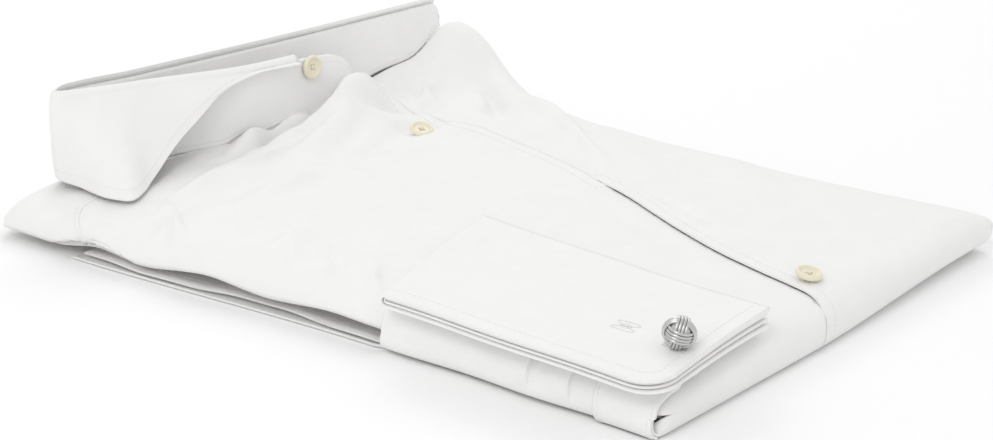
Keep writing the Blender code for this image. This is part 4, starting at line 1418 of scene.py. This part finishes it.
    def leaf(self) -> None:
        """Makes the leaf, rolled over the top of the band and down to its edge and its point."""
        s = self.steps(self.leaf_rows[0][0], self.leaf_rows[-1][0])
        _, top, out = self.frame(s)
        edge = np.stack([along(self.leaf_rows, column, s) for column in range(1, 4)], axis=-1)
        edge[:, 2] = np.maximum(edge[:, 2], self.resting(edge[:, 0], edge[:, 1]))
        angle = np.linspace(0, math.pi / 2, self.roll_rows)[None, :, None]
        share = np.linspace(0, 1, self.fall_rows + 1)[None, 1:, None]
        along_s = s[:, None, None]
        faces = []
        for wall in (self.leaf_wall, 0.0):
            radius = self.stand_wall / 2 + GAP + wall
            over = top[:, None] + out[:, None] * radius * np.sin(angle) + UP * radius * np.cos(angle)
            foot = edge + out * (wall - self.leaf_wall)
            down = over[:, -1:] + (foot[:, None] - over[:, -1:]) * share
            bulge = self.bow * np.sin(math.pi * share) * (1 + self.bow_uneven * np.sin(along_s * 46.0))
            bulge = bulge + self.leaf_wave * np.sin(along_s * 130.0 + 5 * share) * share * (1 - share) * 4
            faces.append(np.concatenate([over, down + out[:, None] * bulge], axis=1)[::-1])
        piece = shell("collar_leaf_cloth", *faces, Finish.FUSED)
        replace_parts(piece, "collar_leaf")
        spans = ((Edge.END, (0.0, 1.0)), (Edge.LOW, self.leaf_sewn), (Edge.HIGH, self.leaf_sewn))
        lines = [inset(faces[0], side, self.inset, span) for side, span in spans]
        thread = self.panels.stitching.sew("collar_leaf_stitches", lines, Finish.THREAD)


@dataclass(frozen=True)
class Button:
    """A four-hole button with a raised rim and its thread, turned from one profile."""

    name: str
    place: tuple[float, float, float]
    normal: tuple[float, float, float]
    radius: float = 0.0055
    thick: float = 0.0024
    hole_at: float = 0.0011
    hole_size: float = 0.00052
    hole_depth: float = 0.0009
    face: float = 0.62
    sides: int = 64
    face_rings: int = 26
    profile: Table = (
        # radius share, height share
        (0.02, 0.0), (0.55, 0.0), (0.80, 0.06), (0.93, 0.20), (0.985, 0.36), (1.0, 0.52), (0.985, 0.70),
        (0.95, 0.84), (0.90, 0.94), (0.84, 1.0), (0.77, 0.98), (0.71, 0.86), (0.66, 0.72), (0.60, 0.64),
    )

    def build(self) -> None:
        """Rings of a turned profile, with four wells sunk in its face, and two crossed threads."""
        inward = [(r, self.face) for r in np.linspace(0.57, 0.01, self.face_rings)]
        rows = np.array([*self.profile, *inward])
        angle = np.linspace(0, math.tau, self.sides, endpoint=False)[None, :]
        r, z = rows[:, :1] * self.radius, rows[:, 1:] * self.thick + 0 * angle
        x, y = r * np.cos(angle), r * np.sin(angle)
        for turn in range(4):
            way = (turn + 0.5) * math.pi / 2
            hole_x, hole_y = self.hole_at * math.cos(way), self.hole_at * math.sin(way)
            far = np.hypot(x - hole_x, y - hole_y) / self.hole_size
            z = z - self.hole_depth * np.exp(-(far**4)) * (z > 0.5 * self.thick)
        axis = Vector(self.normal).normalized()
        turned = np.array(axis.to_track_quat("Z", "Y").to_matrix())
        rings = np.stack([x, y, z], axis=-1) @ turned.T + np.array(self.place)
        piece = tube(self.name + "_turned", rings, Finish.BUTTON)
        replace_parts(piece, self.name)
        height = self.face * self.thick + 0.0001
        ways = np.array([[1.0, 1.0, 0.0], [1.0, -1.0, 0.0]]) / math.sqrt(2)
        thread = Stitching(length=2 * self.hole_at + 0.0005, width=0.00050, height=0.00034)
        places = np.array([[0.0, 0.0, height], [0.0, 0.0, height + 0.0002]]) @ turned.T + np.array(self.place)
        verts, faces = thread.capsules(places, ways @ turned.T, np.tile(axis, (2, 1)))
        add_piece(self.name + "_thread", verts, faces, verts[:, :2], Finish.CORD)


@dataclass(frozen=True)
class Knot:
    """The link's woven knot: three bands of wires round three axes, each over one and under the next."""

    centre: tuple[float, float, float]
    radius: float = 0.0054
    weave: float = 0.00050
    wire: float = 0.00062
    strands: int = 4
    spacing: float = 0.00118
    steps: int = 96
    sides: int = 10
    core_sides: int = 32
    core_rings: int = 24
    core_end: float = 0.05
    turn: float = 0.6
    turn_axis: tuple[float, float, float] = (0.5, 0.2, 1.0)

    def build(self) -> None:
        """Each wire's distance from the middle is R plus a cosine of twice its angle, for over and under."""
        theta = np.linspace(0, math.tau, self.steps, endpoint=False)
        phi = np.linspace(0, math.tau, self.sides, endpoint=False)
        offsets = (np.arange(self.strands) - (self.strands - 1) / 2) * self.spacing
        verts, faces = [], []
        numbers = np.arange(self.steps * self.sides).reshape(self.steps, self.sides)
        wrapped = np.concatenate([numbers, numbers[:1]])
        wrapped = np.concatenate([wrapped, wrapped[:, :1]], axis=1)
        tilt = np.array(Matrix.Rotation(self.turn, 3, Vector(self.turn_axis)))
        for axis in range(3):
            a, b, c = (np.roll(np.array([1.0, 0.0, 0.0]), axis + k) for k in range(3))
            for offset in offsets:
                reach = self.radius + self.weave * np.cos(2 * theta)
                flat = np.sqrt(np.maximum(reach**2 - offset**2, 0))
                out = b * np.cos(theta)[:, None] + c * np.sin(theta)[:, None]
                path = a * offset + out * flat[:, None]
                lean = unit(path)
                way = unit(np.roll(path, -1, axis=0) - np.roll(path, 1, axis=0))
                across = np.cross(lean, way)
                ring = path[:, None] + self.wire * (
                    across[:, None] * np.cos(phi)[None, :, None] + lean[:, None] * np.sin(phi)[None, :, None]
                )
                faces.append(quads(wrapped) + len(verts) * self.steps * self.sides)
                verts.append(ring.reshape(-1, 3))
        verts = np.concatenate(verts) @ tilt.T + np.array(self.centre)
        piece = add_piece("link_knot_wires", verts, np.concatenate(faces), verts[:, :2], Finish.SILVER)
        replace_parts(piece, "link_knot")
        angle = np.linspace(0, math.tau, self.core_sides, endpoint=False)[None, :]
        polar = np.linspace(math.pi - self.core_end, self.core_end, self.core_rings)[:, None]
        core = (self.radius - self.weave) * np.stack(
            [np.sin(polar) * np.cos(angle), np.sin(polar) * np.sin(angle), np.cos(polar) + 0 * angle], axis=-1
        )
        tube("link_knot_core", core + np.array(self.centre), Finish.SILVER)


@dataclass(frozen=True)
class Studio:
    """Pale floor, soft lights and the camera."""

    floor_size: float = 8.0
    eye: tuple[float, float, float] = (-0.784, -0.640, 0.377)
    heading: float = 50.7
    drop: float = 19.9
    lens: float = 90.63
    sensor: float = 36.0
    world: float = 0.84
    lamps: tuple = (
        # name, where it stands, side of its square, watts
        ("key", (-1.10, -0.35, 1.20), 0.6, 4.6),
        ("back", (0.80, 0.70, 1.00), 0.7, 2.6),
    )

    def build(self) -> None:
        """Makes the floor, the world, the lights and the camera."""
        half = self.floor_size / 2
        corners = [(-half, -half, 0), (half, -half, 0), (half, half, 0), (-half, half, 0)]
        mesh = bpy.data.meshes.new("floor")
        mesh.from_pydata(corners, [], [(0, 1, 2, 3)])
        floor = bpy.data.objects.new("floor", mesh)
        bpy.context.scene.collection.objects.link(floor)
        pale = Solid("floor_paper", (0.97, 0.97, 0.97), 0.9, mottle=0.004, scale=30.0).material()
        mesh.materials.append(pale)
        world = bpy.data.worlds.new("studio")
        world.use_nodes = True
        sky = world.node_tree.nodes["Background"]
        sky.inputs["Color"].default_value = (1.0, 1.0, 1.0, 1.0)
        sky.inputs["Strength"].default_value = self.world
        bpy.context.scene.world = world
        bpy.context.scene.view_settings.view_transform = "Standard"
        for lamp in self.lamps:
            self.light(*lamp)
        self.camera()

    @staticmethod
    def light(name: str, place: tuple[float, float, float], size: float, power: float) -> None:
        """Square area light aimed at the shirt.

        Args:
            name: its name.
            place: where it stands.
            size: side of its square.
            power: watts.
        """
        data = bpy.data.lights.new(name, "AREA")
        data.size = size
        data.energy = power
        lamp = bpy.data.objects.new(name, data)
        aimed = Vector(place).to_track_quat("Z", "Y").to_matrix().to_4x4()
        lamp.matrix_world = Matrix.Translation(place) @ aimed
        bpy.context.scene.collection.objects.link(lamp)

    def camera(self) -> None:
        """Camera at the heading and drop, with no roll, its whole view sharp."""
        yaw, pitch = math.radians(self.heading), math.radians(self.drop)
        level = math.cos(pitch)
        ahead = Vector((math.sin(yaw) * level, math.cos(yaw) * level, -math.sin(pitch)))
        right = ahead.cross(Vector((0, 0, 1))).normalized()
        turn = Matrix((right, right.cross(ahead), -ahead)).transposed().to_4x4()
        data = bpy.data.cameras.new("camera")
        data.lens = self.lens
        data.sensor_width = self.sensor
        camera = bpy.data.objects.new("camera", data)
        camera.matrix_world = Matrix.Translation(self.eye) @ turn
        bpy.context.scene.collection.objects.link(camera)
        bpy.context.scene.camera = camera


@dataclass(frozen=True)
class Fastenings:
    """The buttons and the link, each set on the finished cloth."""

    collar_s: float = 0.0270
    collar_share: float = 0.84
    front_rise: float = 0.0012
    knot_rise: float = 0.0061
    front_rows: tuple = (
        # name, x, y, the way it faces
        ("button_front_top", 0.0260, 0.0670, (-0.10, -0.30, 1.0)),
        ("button_front_low", -0.0020, -0.1575, (0.0, -0.20, 1.0)),
    )

    def collar_button(self, collar: Collar) -> None:
        """Sets the collar's button on the outer face of the band, square to it."""
        foot, top, out = (row[0] for row in collar.frame(np.array([self.collar_s])))
        lean = top - foot
        face = foot + lean * self.collar_share + out * (collar.stand_wall / 2 + GAP)
        Button("button_collar", tuple(face), tuple(np.cross(np.cross(lean, out), lean))).build()

    def front_buttons(self, body: FoldedBody) -> None:
        """Sets the front buttons on whichever front lies on top there."""
        for name, x, y, normal in self.front_rows:
            side = Side.RIGHT if x < float(along(body.edge_rows, 1, np.array(y))) else Side.LEFT
            place = body.point(side, np.array(x), np.array(y), np.array(1.0), 1.0)
            Button(name, tuple(place + self.front_rise * UP), normal).build()

    def link(self, cuff: Cuff) -> None:
        """Sets the knot over its buttonhole and dresses the post beneath it."""
        v = cuff.width - cuff.link_from_end
        at = cuff.point(np.array([cuff.link_u]), np.array([v]), np.array([cuff.radius]))[0]
        Knot((at[0], at[1], at[2] + self.knot_rise)).build()
        Finish.POST.put_on(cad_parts["link_post"])


def main() -> None:
    """Builds the shirt in order and reports each piece."""
    logging.basicConfig(level=logging.INFO, format="%(name)s %(message)s")
    panels = Panels()
    panels.layers()
    panels.back_tail()
    for side in (Side.LEFT, Side.RIGHT):
        panels.front(side)
    panels.yoke()
    Sleeve(panels).build()
    cuff = Cuff()
    cuff.build()
    collar = Collar(panels)
    collar.stand()
    collar.leaf()
    fastenings = Fastenings()
    fastenings.collar_button(collar)
    fastenings.front_buttons(panels.body)
    fastenings.link(cuff)
    Studio().build()


if __name__ == "__main__":
    main()
